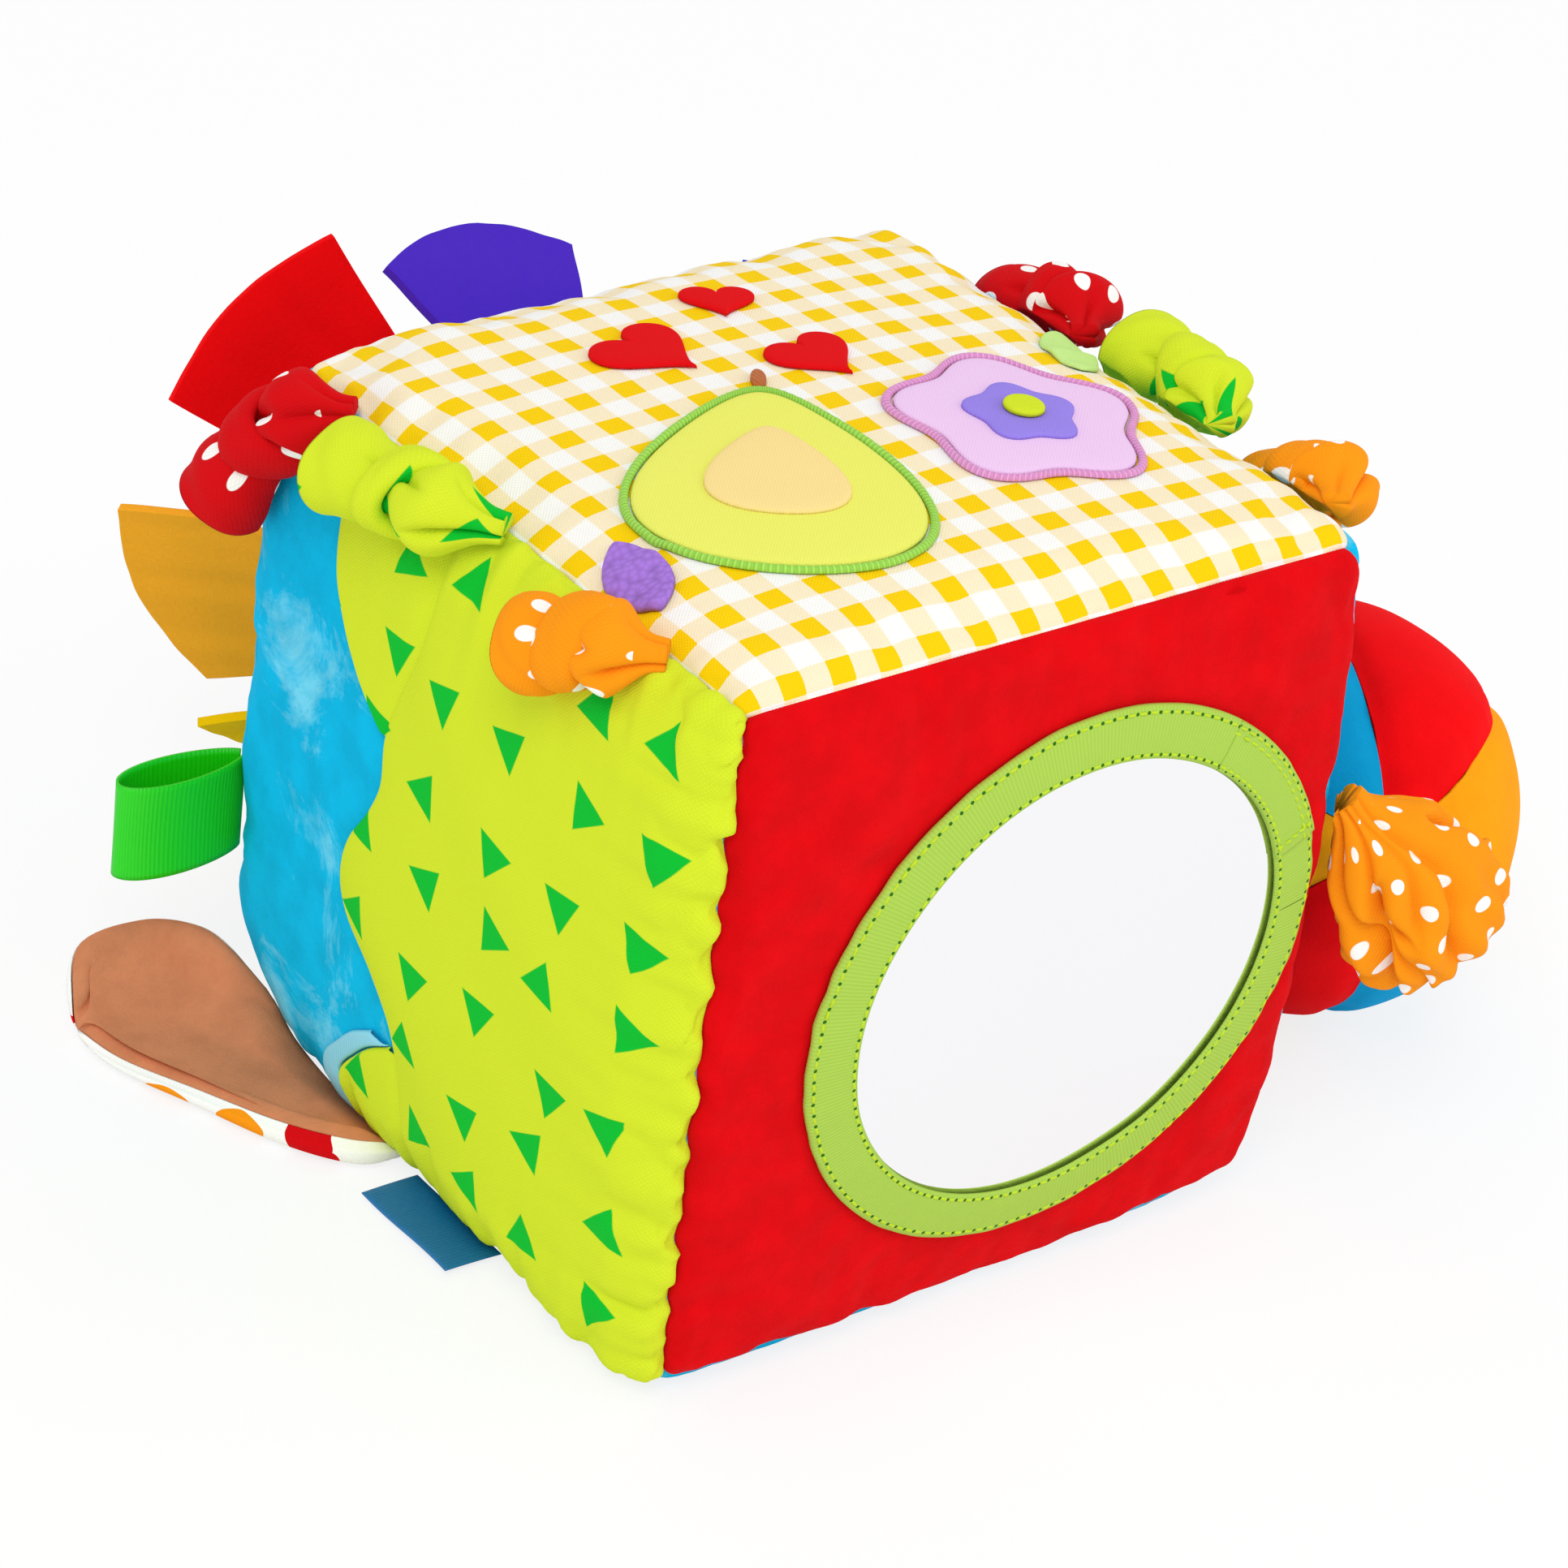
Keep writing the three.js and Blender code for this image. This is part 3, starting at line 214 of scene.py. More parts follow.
# Across the ear: the place between its edges, and the shares of the near and the far lift there
EAR_SECTION = [
    [0, 0.02, 1, 0], [0.06, 0, 0.62, 0], [0.13, 0.02, 0.08, 0], [0.3, 0.22, 0, 0],
    [0.55, 0.55, 0, 0.05], [0.8, 0.86, 0, 0.45], [1, 1, 0, 1],
]
# Spots of the lining seen from outside: across and along the ear
EAR_SPOTS = {"red_cotton": (0.16, 0.29), "orange_cotton": (0.1, 0.49)}

# The camera of the photograph
CAMERA_PLACE = (-0.5654, -0.6512, 0.5902)
CAMERA_TURN = (58.86, -6.61, -37.06)
CAMERA_LENS = 118.865
CAMERA_SENSOR = 36


def linear(hex_colour):
    """The linear colour of an sRGB hex value."""
    channels = [int(hex_colour[i : i + 2], 16) / 255 for i in (1, 3, 5)]
    return [c / 12.92 if c <= 0.04045 else ((c + 0.055) / 1.055) ** 2.4 for c in channels]


def length_prop(name, description, millimetres):
    """A length that the user can set."""
    return FloatProperty(
        name=name, description=description, default=millimetres * MM, unit="LENGTH", min=0
    )


def colour_prop(name, description, default):
    """A colour that the user can set, written as sRGB hex."""
    return FloatVectorProperty(
        name=name, description=description, default=linear(default), subtype="COLOR", min=0, max=1
    )


class CubeSizes(PropertyGroup):
    """Sizes of the cube and of all that is sewn to it"""

    cube_side: length_prop("Cube side", "From seam to seam", 150)
    edge_round: length_prop("Edge round", "Radius of the soft edges", 8)
    panel_crown: length_prop("Panel crown", "How far a filled panel swells", 4)
    cover_thick: length_prop("Cover thickness", "Cloth and pile of a panel", 2.4)
    corner_tuck: length_prop("Corner tuck", "How far the softest corner is drawn in", 9)
    corner_reach: length_prop("Corner reach", "How far a tuck is felt", 20)
    belly_share: FloatProperty(
        name="Belly", description="How far the sides swell out halfway up", default=0.03, min=0
    )
    seam_dip: length_prop("Seam dip", "Depth of the groove at a seam", 1)
    seam_reach: length_prop("Seam reach", "Width of that groove", 4)
    seat_gap: length_prop("Seat gap", "Air under a sewn piece", 0.3)
    ring_width: length_prop("Ring width", "Width of the mirror's tape", 10.5)
    ring_inner: length_prop("Ring inner radius", "Radius of the mirror that shows", 48.6)
    mirror_radius: length_prop("Mirror radius", "With the edge under the tape", 52.6)
    mirror_upright: FloatProperty(
        name="Mirror upright share", description="Its height over its width", default=0.94, min=0
    )
    mirror_right: length_prop("Mirror right", "Its middle, right of the panel's", 6.5)
    mirror_drop: length_prop("Mirror drop", "Its middle, below the panel's", 0.7)
    hill_pad: length_prop("Hill padding", "Rise of the front hill", 3.2)
    lobe_pad: length_prop("Lobe padding", "Rise of the two back hills", 1.8)
    edging_width: length_prop("Edging width", "Pale strip over the lower hill", 6)
    satin_width: length_prop("Satin border", "Width of a stitched border", 1.9)
    applique_thick: length_prop("Applique", "Thickness of a sewn patch", 1.1)
    tail_reach: length_prop("Tail reach", "How far a tail stands out", 9)
    puff_length: length_prop("Puff length", "From its root to its open end", 46)
    ball_radius: length_prop("Ball radius", "Stuffed ball", 43.6)
    petal_reach: length_prop("Petal reach", "From the hub's middle to a tip", 88)
    petal_thick: length_prop("Petal thickness", "Two cloths and wadding", 2)
    hub_radius: length_prop("Hub radius", "Padded middle of the petals", 27)
    ribbon_width: length_prop("Ribbon width", "Satin ribbon", 21)
    ribbon_reach: length_prop("Ribbon reach", "How far the loop stands out", 28.5)
    ear_plush_thick: length_prop("Ear plush", "Thickness with its pile", 4)
    gingham_period: length_prop("Gingham period", "One yellow and one white check", 10.5)
    triangle_side: length_prop("Printed triangle", "Side of a printed triangle", 9.5)
    triangle_step: length_prop("Triangle step", "Between printed triangles", 19.5)
    dot_radius: length_prop("Dot radius", "A printed white dot", 1.5)
    dot_step: length_prop("Dot step", "Between white dots", 8.6)
    thread_pitch: length_prop("Thread pitch", "Drawn coarser than the real 0.4 mm to show", 0.8)
    cover_cells: IntProperty(name="Cover cells", description="Along a side", default=60, min=12)
    pillow_pressure: FloatProperty(name="Filling", description="Cloth pressure", default=4, min=0)


class CubeColours(PropertyGroup):
    """Colours of its cloths and threads"""

    gingham: colour_prop("Gingham yellow", "Yellow thread of the top", "#FFD400")
    white: colour_prop("Cotton white", "White thread and dots", "#FFFEFA")
    red_plush: colour_prop("Red plush", "Mirror panel", "#E0000A")
    blue_plush: colour_prop("Blue plush", "Other panels", "#00BCEC")
    # Painted sheen: the paler blue painted in patches where the pile is pressed
    pressed_pile_sheen: colour_prop("Cloud", "Pressed pile of the blue plush", "#84E0F8")
    lime: colour_prop("Lime cotton", "Hills and lime tails", "#D6E82C")
    print_green: colour_prop("Printed green", "Triangles of the hills", "#06C032")
    pale_blue: colour_prop("Pale blue edging", "Satin strip", "#8FE0F6")
    tape: colour_prop("Mirror tape", "Woven tape", "#ABCF52")
    # Painted shade: the dark green painted in the needle holes of the tape
    needle_hole_shade: colour_prop("Needle hole", "Shade in a stitch's hole", "#2F6B10")
    tape_thread: colour_prop("Tape thread", "Stitches of the tape", "#C6E41E")
    heart: colour_prop("Heart red", "Felt hearts", "#E40A12")
    pear: colour_prop("Pear", "Pale lime cotton", "#EEF06A")
    pear_edge: colour_prop("Pear edge", "Green satin stitch", "#A6E653")
    peach: colour_prop("Pear core", "Peach cotton", "#FBE094")
    twig: colour_prop("Stalk", "Brown stitching", "#C86A28")
    terry: colour_prop("Terry leaf", "Purple terry", "#AE7FE4")
    pale_leaf: colour_prop("Pale leaf", "Pale green cotton", "#C9EF90")
    pink: colour_prop("Flower", "Pink cotton", "#F2CDF4")
    pink_edge: colour_prop("Flower edge", "Pink satin stitch", "#F0A2DC")
    violet: colour_prop("Flower eye", "Violet cotton", "#9A86EA")
    red_cotton: colour_prop("Red cotton", "Red tails", "#D6040E")
    orange_cotton: colour_prop("Orange cotton", "Orange tails and puff", "#FF9A10")
    ball_red: colour_prop("Ball red", "Velour", "#F40008")
    ball_orange: colour_prop("Ball orange", "Velour", "#FFA40C")
    ball_blue: colour_prop("Ball blue", "Velour", "#06A2D8")
    hub: colour_prop("Petal hub", "Yellow plush", "#FFD21E")
    ribbon: colour_prop("Ribbon", "Green satin", "#1EDC0A")
    brown: colour_prop("Ear plush", "Brown plush", "#D98A60")
    label: colour_prop("Side label", "Bare blue satin", "#1070B2")


def sizes():
    return bpy.context.scene.cube_sizes


def colours():
    return bpy.context.scene.cube_colours


# Small helpers for pieces


def pick(*pieces):
    """Selects these pieces alone, with the first one active."""
    bpy.ops.object.select_all(action="DESELECT")
    for piece in pieces:
        piece.select_set(True)
    bpy.context.view_layer.objects.active = pieces[0]


def points_of(piece):
    points = np.zeros(len(piece.data.vertices) * 3)
    piece.data.vertices.foreach_get("co", points)
    return points.reshape(-1, 3)


def put_points(piece, points):
    piece.data.vertices.foreach_set("co", np.asarray(points, float).ravel())
    piece.data.update()


def map_cloth(piece, across, along):
    """Gives a piece one UV map in metres of flat cloth, from a value for each vertex."""
    corners = np.zeros(len(piece.data.loops), int)
    piece.data.loops.foreach_get("vertex_index", corners)
    while piece.data.uv_layers:
        piece.data.uv_layers.remove(piece.data.uv_layers[0])
    layer = piece.data.uv_layers.new(name="cloth")
    layer.data.foreach_set("uv", np.stack([across[corners], along[corners]], 1).ravel())


def modify(piece, kind, **settings):
    """Adds one modifier to a piece and applies it."""
    pick(piece)
    bpy.ops.object.modifier_add(type=kind)
    modifier = piece.modifiers[-1]
    for key, value in settings.items():
        setattr(modifier, key, value)
    bpy.ops.object.modifier_apply(modifier=modifier.name)


def thicken(piece, thick, offset=-1.0):
    """Gives a sheet its wall, inwards if not told otherwise."""
    modify(piece, "SOLIDIFY", thickness=thick, offset=offset)


def refine(piece):
    """Halves every cell and smooths the piece."""
    modify(piece, "SUBSURF", levels=1, render_levels=1, boundary_smooth="PRESERVE_CORNERS")


def edit(piece, *steps):
    """Runs steps of edit mode on a piece, with all of it selected."""
    pick(piece)
    bpy.ops.object.mode_set(mode="EDIT")
    bpy.ops.mesh.select_all(action="SELECT")
    for step in steps:
        step()
    bpy.ops.object.mode_set(mode="OBJECT")


def turn_outwards():
    bpy.ops.mesh.normals_make_consistent(inside=False)


def face_out(piece, weld=0.0):
    """Merges doubled points and turns every face outwards."""
    merge = [lambda: bpy.ops.mesh.remove_doubles(threshold=weld)] if weld else []
    edit(piece, *merge, turn_outwards)


def start_piece(name, primitive, **settings):
    """A new primitive, alone in the selection."""
    bpy.ops.object.select_all(action="DESELECT")
    primitive(**settings)
    piece = bpy.context.object
    piece.name = name
    return piece


def grid_piece(name, columns, rows, place, cloth):
    """An open sheet: place(s, t) turns two arrays of shares into points, cloth(s, t) into flat cloth."""
    counts = {"x_subdivisions": columns, "y_subdivisions": rows}
    piece = start_piece(name, bpy.ops.mesh.primitive_grid_add, size=1, **counts)
    flat = points_of(piece)
    s, t = flat[:, 0] + 0.5, flat[:, 1] + 0.5
    map_cloth(piece, *cloth(s, t))
    put_points(piece, place(s, t))
    return piece


def round_piece(name, rings, sides, place, cloth):
    """A closed form from a sphere: place(share, angle) gives points from its first pole to its last."""
    counts = {"segments": sides, "ring_count": rings}
    piece = start_piece(name, bpy.ops.mesh.primitive_uv_sphere_add, radius=1, **counts)
    ball = points_of(piece)
    share = 1 - np.arccos(np.clip(ball[:, 2], -1, 1)) / math.pi
    angle = np.arctan2(ball[:, 1], ball[:, 0])
    layer = piece.data.uv_layers[0]
    layer.name = "cloth"
    uv = np.zeros(len(piece.data.loops) * 2)
    layer.data.foreach_get("uv", uv)
    layer.data.foreach_set("uv", (uv.reshape(-1, 2) * np.array(cloth)).ravel())
    put_points(piece, place(share, angle))
    face_out(piece)
    return piece


def dress(piece, material, slot, *stands_for, body=None, bend=None):
    """Gives a finished piece smooth normals and its material, hides the nodes it stands for, and ties it to its
    body; a piece with a bend is tied to no body and only has its place baked into its points. The slot is not
    used.
    """
    pick(piece)
    bpy.ops.object.shade_smooth()
    piece.data.materials.clear()
    piece.data.materials.append(material)
    if stands_for:
        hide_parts(*stands_for)
    if bend:
        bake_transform(piece)
    else:
        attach(piece, body or BODY_OF[stands_for[0]])
    return piece


def square_of(share, angle):
    """Spreads a round piece's points over a square from -1 to 1, and gives their reach from its middle."""
    reach = np.sin(math.pi * share)
    square = np.maximum(np.abs(np.cos(angle)), np.abs(np.sin(angle)))
    return reach * np.cos(angle) / square, reach * np.sin(angle) / square, reach


# Shapes that pieces share


def mix(a, b, share):
    return a + (b - a) * share


def ease(share):
    """Goes softly from 0 to 1 and stays there."""
    held = np.clip(share, 0, 1)
    return held * held * (3 - 2 * held)


def bell(distance, reach):
    """One at a place, and less and less away from it."""
    return np.exp(-((distance / reach) ** 2))


def unit(vectors):
    return vectors / np.maximum(np.linalg.norm(vectors, axis=-1), 1e-12)[..., None]


def ripple(place, period, seed=0.0):
    """An uneven wave between about -1 and 1."""
    turn = math.tau * np.asarray(place) / period
    return (
        0.55 * np.sin(turn + 1.7 * seed)
        + 0.3 * np.sin(turn * 1.73 + 2.9 * seed + 1.1)
        + 0.25 * np.sin(turn * 0.61 + 0.7 * seed + 2.3)
    )


def curve_at(rows, place):
    """Reads a smooth curve through rows of a place and a value."""
    rows = np.asarray(rows, float)
    at, value = rows[:, 0], rows[:, 1]
    before = np.maximum(np.arange(len(rows)) - 1, 0)
    after = np.minimum(np.arange(len(rows)) + 1, len(rows) - 1)
    slopes = (value[after] - value[before]) / (at[after] - at[before])
    place = np.clip(np.asarray(place, float), at[0], at[-1])
    k = np.clip(np.searchsorted(at, place), 1, len(rows) - 1)
    run = at[k] - at[k - 1]
    t = (place - at[k - 1]) / run
    return (
        (2 * t**3 - 3 * t**2 + 1) * value[k - 1]
        + (t**3 - 2 * t**2 + t) * run * slopes[k - 1]
        + (3 * t**2 - 2 * t**3) * value[k]
        + (t**3 - t**2) * run * slopes[k]
    )


def spine_at(points, share):
    """Points along a smooth line through control points at even shares."""
    points = np.asarray(points, float)
    at = np.linspace(0, 1, len(points))
    return np.stack([curve_at(np.stack([at, points[:, k]], 1), share) for k in range(3)], 1)


# Share of a line over which its direction is read
STEP_SHARE = 0.01


def shares_beside(share):
    return np.clip(share + STEP_SHARE, 0, 1), np.clip(share - STEP_SHARE, 0, 1)


def tube_points(spine, share, angle, across_radius, over_radius, flat_axis):
    """Points round a spine, with its two radii across and over a flat axis."""
    after, before = shares_beside(share)
    ahead = unit(spine_at(spine, after) - spine_at(spine, before))
    across = unit(np.cross(np.array(flat_axis, float), ahead))
    over = np.cross(ahead, across)
    return (
        spine_at(spine, share)
        + across * (across_radius * np.cos(angle))[:, None]
        + over * (over_radius * np.sin(angle))[:, None]
    )


CREASE_WANDER = 0.16
CREASE_FADE_SHARE = 0.14
CREASE_POWER = 1.3


def creased(along, angle, creases):
    """Share of its radius that folded cloth keeps: sharp valleys that wander, start and end."""
    kept = np.ones_like(angle)
    for at, twist, first, last, depth, wide in creases:
        centre = at + twist * along + CREASE_WANDER * np.sin(9 * along + 3 * at)
        away = np.abs((angle - centre + math.pi) % math.tau - math.pi)
        fade = ease((along - first) / CREASE_FADE_SHARE) * ease((last - along) / CREASE_FADE_SHARE)
        kept -= depth * fade * np.exp(-((away / wide) ** CREASE_POWER))
    return kept


def draw_creases(chance, count, wander, twist, ends, depth, wide):
    """Creases by chance round a sleeve: angle, twist, first and last share, depth and width."""
    creases = []
    for k in range(count):
        at = math.tau * (k + chance.uniform(-wander, wander)) / count
        turn = chance.uniform(*twist)
        creases.append((at, turn, *ends(k), chance.uniform(*depth), chance.uniform(*wide)))
    return creases


# The sewn cover

sewn = {}


def face_axes(face):
    """Right, up and out of a panel."""
    right, up = (np.array(axis, float) for axis in FACES[face])
    return right, up, np.cross(right, up)


def crowded(share):
    """Place from -1 to 1 of a cell's share from -1 to 1, so that cells are finer by the seams."""
    return np.sign(share) * (1 - (1 - np.abs(share)) ** SEAM_CROWDING)


def crowded_share(share):
    """The same for shares from 0 to 1."""
    return (crowded(2 * share - 1) + 1) / 2


def uncrowded(place):
    """The cell's share that lies at a place."""
    return np.sign(place) * (1 - (1 - np.clip(np.abs(place), 0, 1)) ** (1 / SEAM_CROWDING))


def skin(face, right, up, lift):
    """Points of a panel at right and up from its middle, at a lift above the cover."""
    s = sizes()
    half = s.cube_side / 2
    right, up, lift = np.broadcast_arrays(*(np.asarray(v, float) for v in (right, up, lift)))
    flat = half - s.edge_round
    core_right, core_up = np.clip(right, -flat, flat), np.clip(up, -flat, flat)
    direction = np.stack([right - core_right, up - core_up, np.full_like(right, s.edge_round)], -1)
    direction = unit(direction)
    dip = s.seam_dip * (bell(half - abs(right), s.seam_reach) + bell(half - abs(up), s.seam_reach))
    crown = 0 if face == "base" else s.panel_crown
    swell = crown * (1 - (right / half) ** 2) * (1 - (up / half) ** 2)
    local = direction * (s.edge_round + lift - dip)[..., None]
    local += np.stack([core_right, core_up, flat + swell], -1)
    points = np.array([0, 0, half]) + local @ np.array(face_axes(face))
    tuck = np.zeros_like(points)
    for level, shares in enumerate((BOTTOM_TUCK_SHARES, TOP_TUCK_SHARES)):
        for (sx, sy), share in zip(CORNER_SIGNS, shares):
            corner = np.array([sx * half, sy * half, level * s.cube_side])
            inward = unit(np.array([-sx, -sy, 1 - 2 * level], float)) * s.corner_tuck * share
            distance = np.linalg.norm(points - corner, axis=-1)
            tuck += bell(distance, s.corner_reach)[..., None] * inward
    points += tuck
    belly = 1 + s.belly_share * (1 - ((points[..., 2] - half) / half) ** 2)
    points[..., :2] *= belly[..., None]
    return points


def on_cover(face, right, up, lift):
    """Points over the sewn cover, where its cloth really lies."""
    half = sizes().cube_side / 2
    points, normals = sewn[face]
    cells = points.shape[0] - 1
    right, up, lift = np.broadcast_arrays(*(np.asarray(v, float) for v in (right, up, lift)))
    i = np.clip((uncrowded(right / half) + 1) / 2 * cells, 0, cells - 1e-6)
    j = np.clip((uncrowded(up / half) + 1) / 2 * cells, 0, cells - 1e-6)
    i0, j0 = i.astype(int), j.astype(int)
    fi, fj = (i - i0)[..., None], (j - j0)[..., None]

    def read(grid):
        low = mix(grid[i0, j0], grid[i0 + 1, j0], fi)
        high = mix(grid[i0, j0 + 1], grid[i0 + 1, j0 + 1], fi)
        return mix(low, high, fj)

    return read(points) + unit(read(normals)) * lift[..., None]


# How much each panel is drawn up by the stitches round it
PUCKER_SHARES = {"top": 0.5, "mirror": 0.2, "left": 0.4, "back": 0.4, "right": 0.4, "base": 0.2}
PUCKER_PERIOD = 10 * MM
PUCKER_REACH = 9 * MM
SEAM_CREASE = 0.5 * MM
SEAM_CREASE_REACH = 1.3 * MM
DRAG_PERIOD = 43 * MM
DRAG_LIFT = 0.2 * MM
DRAG_SLANTS = (0.4, -0.3)


def puckers(face, right, up):
    """How far the cloth stands off the smooth panel, drawn up by the seams round it."""
    half = sizes().cube_side / 2
    lift = np.zeros_like(right)
    edges = ((half - right, up), (half + right, up), (half - up, right), (half + up, right))
    for seed, (gap, along) in enumerate(edges):
        rise = (1 - np.exp(-gap / SEAM_CREASE_REACH)) * np.exp(-gap / PUCKER_REACH)
        lift += PUCKER_SHARES[face] * MM * ripple(along, PUCKER_PERIOD, seed + len(face)) * rise
        lift -= SEAM_CREASE * bell(gap, SEAM_CREASE_REACH)
    drag = ripple(right + DRAG_SLANTS[0] * up, DRAG_PERIOD, 3)
    drag = drag * ripple(up + DRAG_SLANTS[1] * right, DRAG_PERIOD, 5)
    return lift + DRAG_LIFT * drag


SEAM_WANDER = 1.3 * MM
SEAM_WANDER_PERIOD = 12 * MM
SEAM_WANDER_REACH = 5 * MM
FINE_WANDER_PERIOD = 5 * MM
FINE_WANDER_SHARE = 0.4


def seam_wander(points):
    """Moves the gathered seam between the hills and the mirror panel a little to and fro."""
    half = sizes().cube_side / 2
    distance = np.hypot(points[:, 0] + half, points[:, 1] + half)
    fine = FINE_WANDER_SHARE * ripple(points[:, 2], FINE_WANDER_PERIOD, 4)
    wave = ripple(points[:, 2], SEAM_WANDER_PERIOD, 2) + fine
    shift = SEAM_WANDER * wave * bell(distance, SEAM_WANDER_REACH)
    return points + np.outer(shift, np.array([1, -1, 0]) / math.sqrt(2))


def sew_panels():
    """Sews six panels as one filled cover, swells it as cloth, and parts it along its seams."""
    s = sizes()
    side, half, cells = s.cube_side, s.cube_side / 2, s.cover_cells
    cover = start_piece("cover", bpy.ops.mesh.primitive_cube_add, size=side, location=(0, 0, half))
    bpy.ops.object.transform_apply(location=True, rotation=False, scale=False)
    edit(cover, lambda: bpy.ops.mesh.subdivide(number_cuts=cells - 1))
    flat = points_of(cover) - np.array([0, 0, half])
    outward = np.array([face_axes(face)[2] for face in FACES])
    middles = np.zeros(len(cover.data.polygons) * 3)
    cover.data.polygons.foreach_get("center", middles)
    face_of = ((middles.reshape(-1, 3) - np.array([0, 0, half])) @ outward.T).argmax(1)
    for face in FACES:
        cover.data.materials.append(bpy.data.materials.new(face))
    cover.data.polygons.foreach_set("material_index", face_of)
    corners = np.zeros(len(cover.data.loops), int)
    cover.data.loops.foreach_get("vertex_index", corners)
    corner_face = np.repeat(face_of, 4)
    uv = np.zeros((len(corners), 2))
    shaped = flat.copy()
    lattice = {}
    for k, face in enumerate(FACES):
        right_axis, up_axis, _ = face_axes(face)
        here = corner_face == k
        uv[here, 0] = crowded(flat[corners[here]] @ right_axis / half) * half
        uv[here, 1] = crowded(flat[corners[here]] @ up_axis / half) * half
        mine = np.unique(corners[here])
        right_share, up_share = flat[mine] @ right_axis / half, flat[mine] @ up_axis / half
        right, up = crowded(right_share) * half, crowded(up_share) * half
        shaped[mine] = skin(face, right, up, puckers(face, right, up))
        grid = np.zeros((cells + 1, cells + 1), int)
        column, row = (np.rint((v + 1) / 2 * cells).astype(int) for v in (right_share, up_share))
        grid[column, row] = mine
        lattice[face] = grid
    shaped = seam_wander(shaped)
    put_points(cover, shaped)
    cover.data.uv_layers[0].name = "cloth"
    cover.data.uv_layers[0].data.foreach_set("uv", uv.ravel())
    fill_cover(cover, lattice, shaped)
    settled = points_of(cover)
    for face, grid in lattice.items():
        points = settled[grid]
        normals = unit(np.cross(np.gradient(points, axis=0), np.gradient(points, axis=1)))
        sewn[face] = (points, normals)
    edit(cover, lambda: bpy.ops.mesh.separate(type="MATERIAL"))
    panels = {}
    for piece in list(bpy.context.selected_objects):
        face = piece.data.materials[piece.data.polygons[0].material_index].name
        piece.name = face + "_cloth"
        if face != "base":
            refine(piece)
        thicken(piece, s.cover_thick)
        panels[face] = piece
    for face in FACES:
        bpy.data.materials.remove(bpy.data.materials[face])
    return panels


def fill_cover(cover, lattice, shaped):
    """Swells the cover by cloth pressure, held at its seams, on its base and under the mirror."""
    s = sizes()
    held = cover.vertex_groups.new(name="held")
    pinned = set(int(i) for i in lattice["base"].ravel())
    for grid in lattice.values():
        for rim in (grid[:2], grid[-2:], grid[:, :2], grid[:, -2:]):
            pinned.update(int(i) for i in rim.ravel())
    low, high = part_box("mirror_ring")
    middle, reach = (low + high) / 2, (high.x - low.x) / 2
    for i in lattice["mirror"].ravel():
        if math.hypot(shaped[i][0] - middle.x, shaped[i][2] - middle.z) < reach:
            pinned.add(int(i))
    held.add(sorted(pinned), 1.0, "REPLACE")
    moved = cloth_moves(cover, "held", s.pillow_pressure, shaped)
    put_points(cover, shaped + moved)


CLOTH_STEPS = 20
SWELL_CAP = 1.8 * MM
# How the cover's cloth stretches, bends and shrinks as it is filled
CLOTH_SETTINGS = {
    "quality": 5,
    "mass": 0.2,
    "tension_stiffness": 20,
    "compression_stiffness": 20,
    "shear_stiffness": 8,
    "bending_stiffness": 0.3,
    "shrink_min": -0.02,
    "use_pressure": True,
}


def cloth_moves(piece, held, pressure, start):
    """Runs a short cloth simulation on a piece and gives how far each point moved, up to the cap."""
    pick(piece)
    bpy.ops.object.modifier_add(type="CLOTH")
    cloth = piece.modifiers[-1]
    for key, value in CLOTH_SETTINGS.items():
        setattr(cloth.settings, key, value)
    cloth.settings.uniform_pressure_force = pressure
    cloth.settings.vertex_group_mass = held
    cloth.settings.effector_weights.gravity = 0
    cloth.collision_settings.use_collision = False
    cloth.point_cache.frame_start = 1
    cloth.point_cache.frame_end = CLOTH_STEPS
    for step in range(1, CLOTH_STEPS + 1):
        bpy.context.scene.frame_set(step)
    bpy.ops.object.modifier_apply(modifier=cloth.name)
    bpy.context.scene.frame_set(1)
    moved = points_of(piece) - start
    far = np.linalg.norm(moved, axis=1)
    return moved * (SWELL_CAP / np.maximum(far, SWELL_CAP))[:, None]


def make_cover():
    """The six filled panels in their cloths."""
    panels = sew_panels()
    looks = {
        "top": (gingham_cotton(), "gingham_cotton"),
        "mirror": (long_plush("red plush", paint("red_plush")), "red_plush"),
    }
    blue = (blue_plush_with_painted_sheen(), "blue_plush")
    for face, piece in panels.items():
        node = {"base": "base_panel"}.get(face, face + "_panel")
        material, slot = looks.get(face, blue)
        dress(piece, material, slot, node)


# The mirror and its tape


def flat_pad(name, face, middle, outline, rings, turns, low, thick, firm=4):
    """A closed pad on a panel: flat below, and above it rises from its outline to its thickness."""

    def place(share, angle):
        reach = np.sin(math.pi * share)
        x, y = outline(angle / math.tau)
        over = np.where(share < 0.5, (1 - reach**firm) ** (1 / firm), 0)
        return on_cover(face, middle[0] + x * reach, middle[1] + y * reach, low + thick * over)

    return round_piece(name, rings, turns, place, (1, 1))


def outline_of(form):
    """An outline gives right and up at a share of its turn, from a form that takes the angle."""
    return lambda turn: form(math.tau * turn)


def oval(wide, upright):
    return outline_of(lambda a: (wide * np.cos(a), upright * np.sin(a)))


def circle(radius):
    return oval(radius, radius)


def mirror_oval(radius):
    return oval(radius, radius * sizes().mirror_upright)


def turned(outline, angle):
    """An outline turned by an angle in degrees."""
    c, s = math.cos(math.radians(angle)), math.sin(math.radians(angle))

    def spun(turn):
        x, y = outline(turn)
        return x * c - y * s, x * s + y * c

    return spun


def map_flat(piece, face):
    """UV of a patch in metres, straight along its panel."""
    right_axis, up_axis, _ = face_axes(face)
    points = points_of(piece)
    map_cloth(piece, points @ right_axis, points @ up_axis)


BAND_CELLS = 30
WELD_REACH = 0.005 * MM


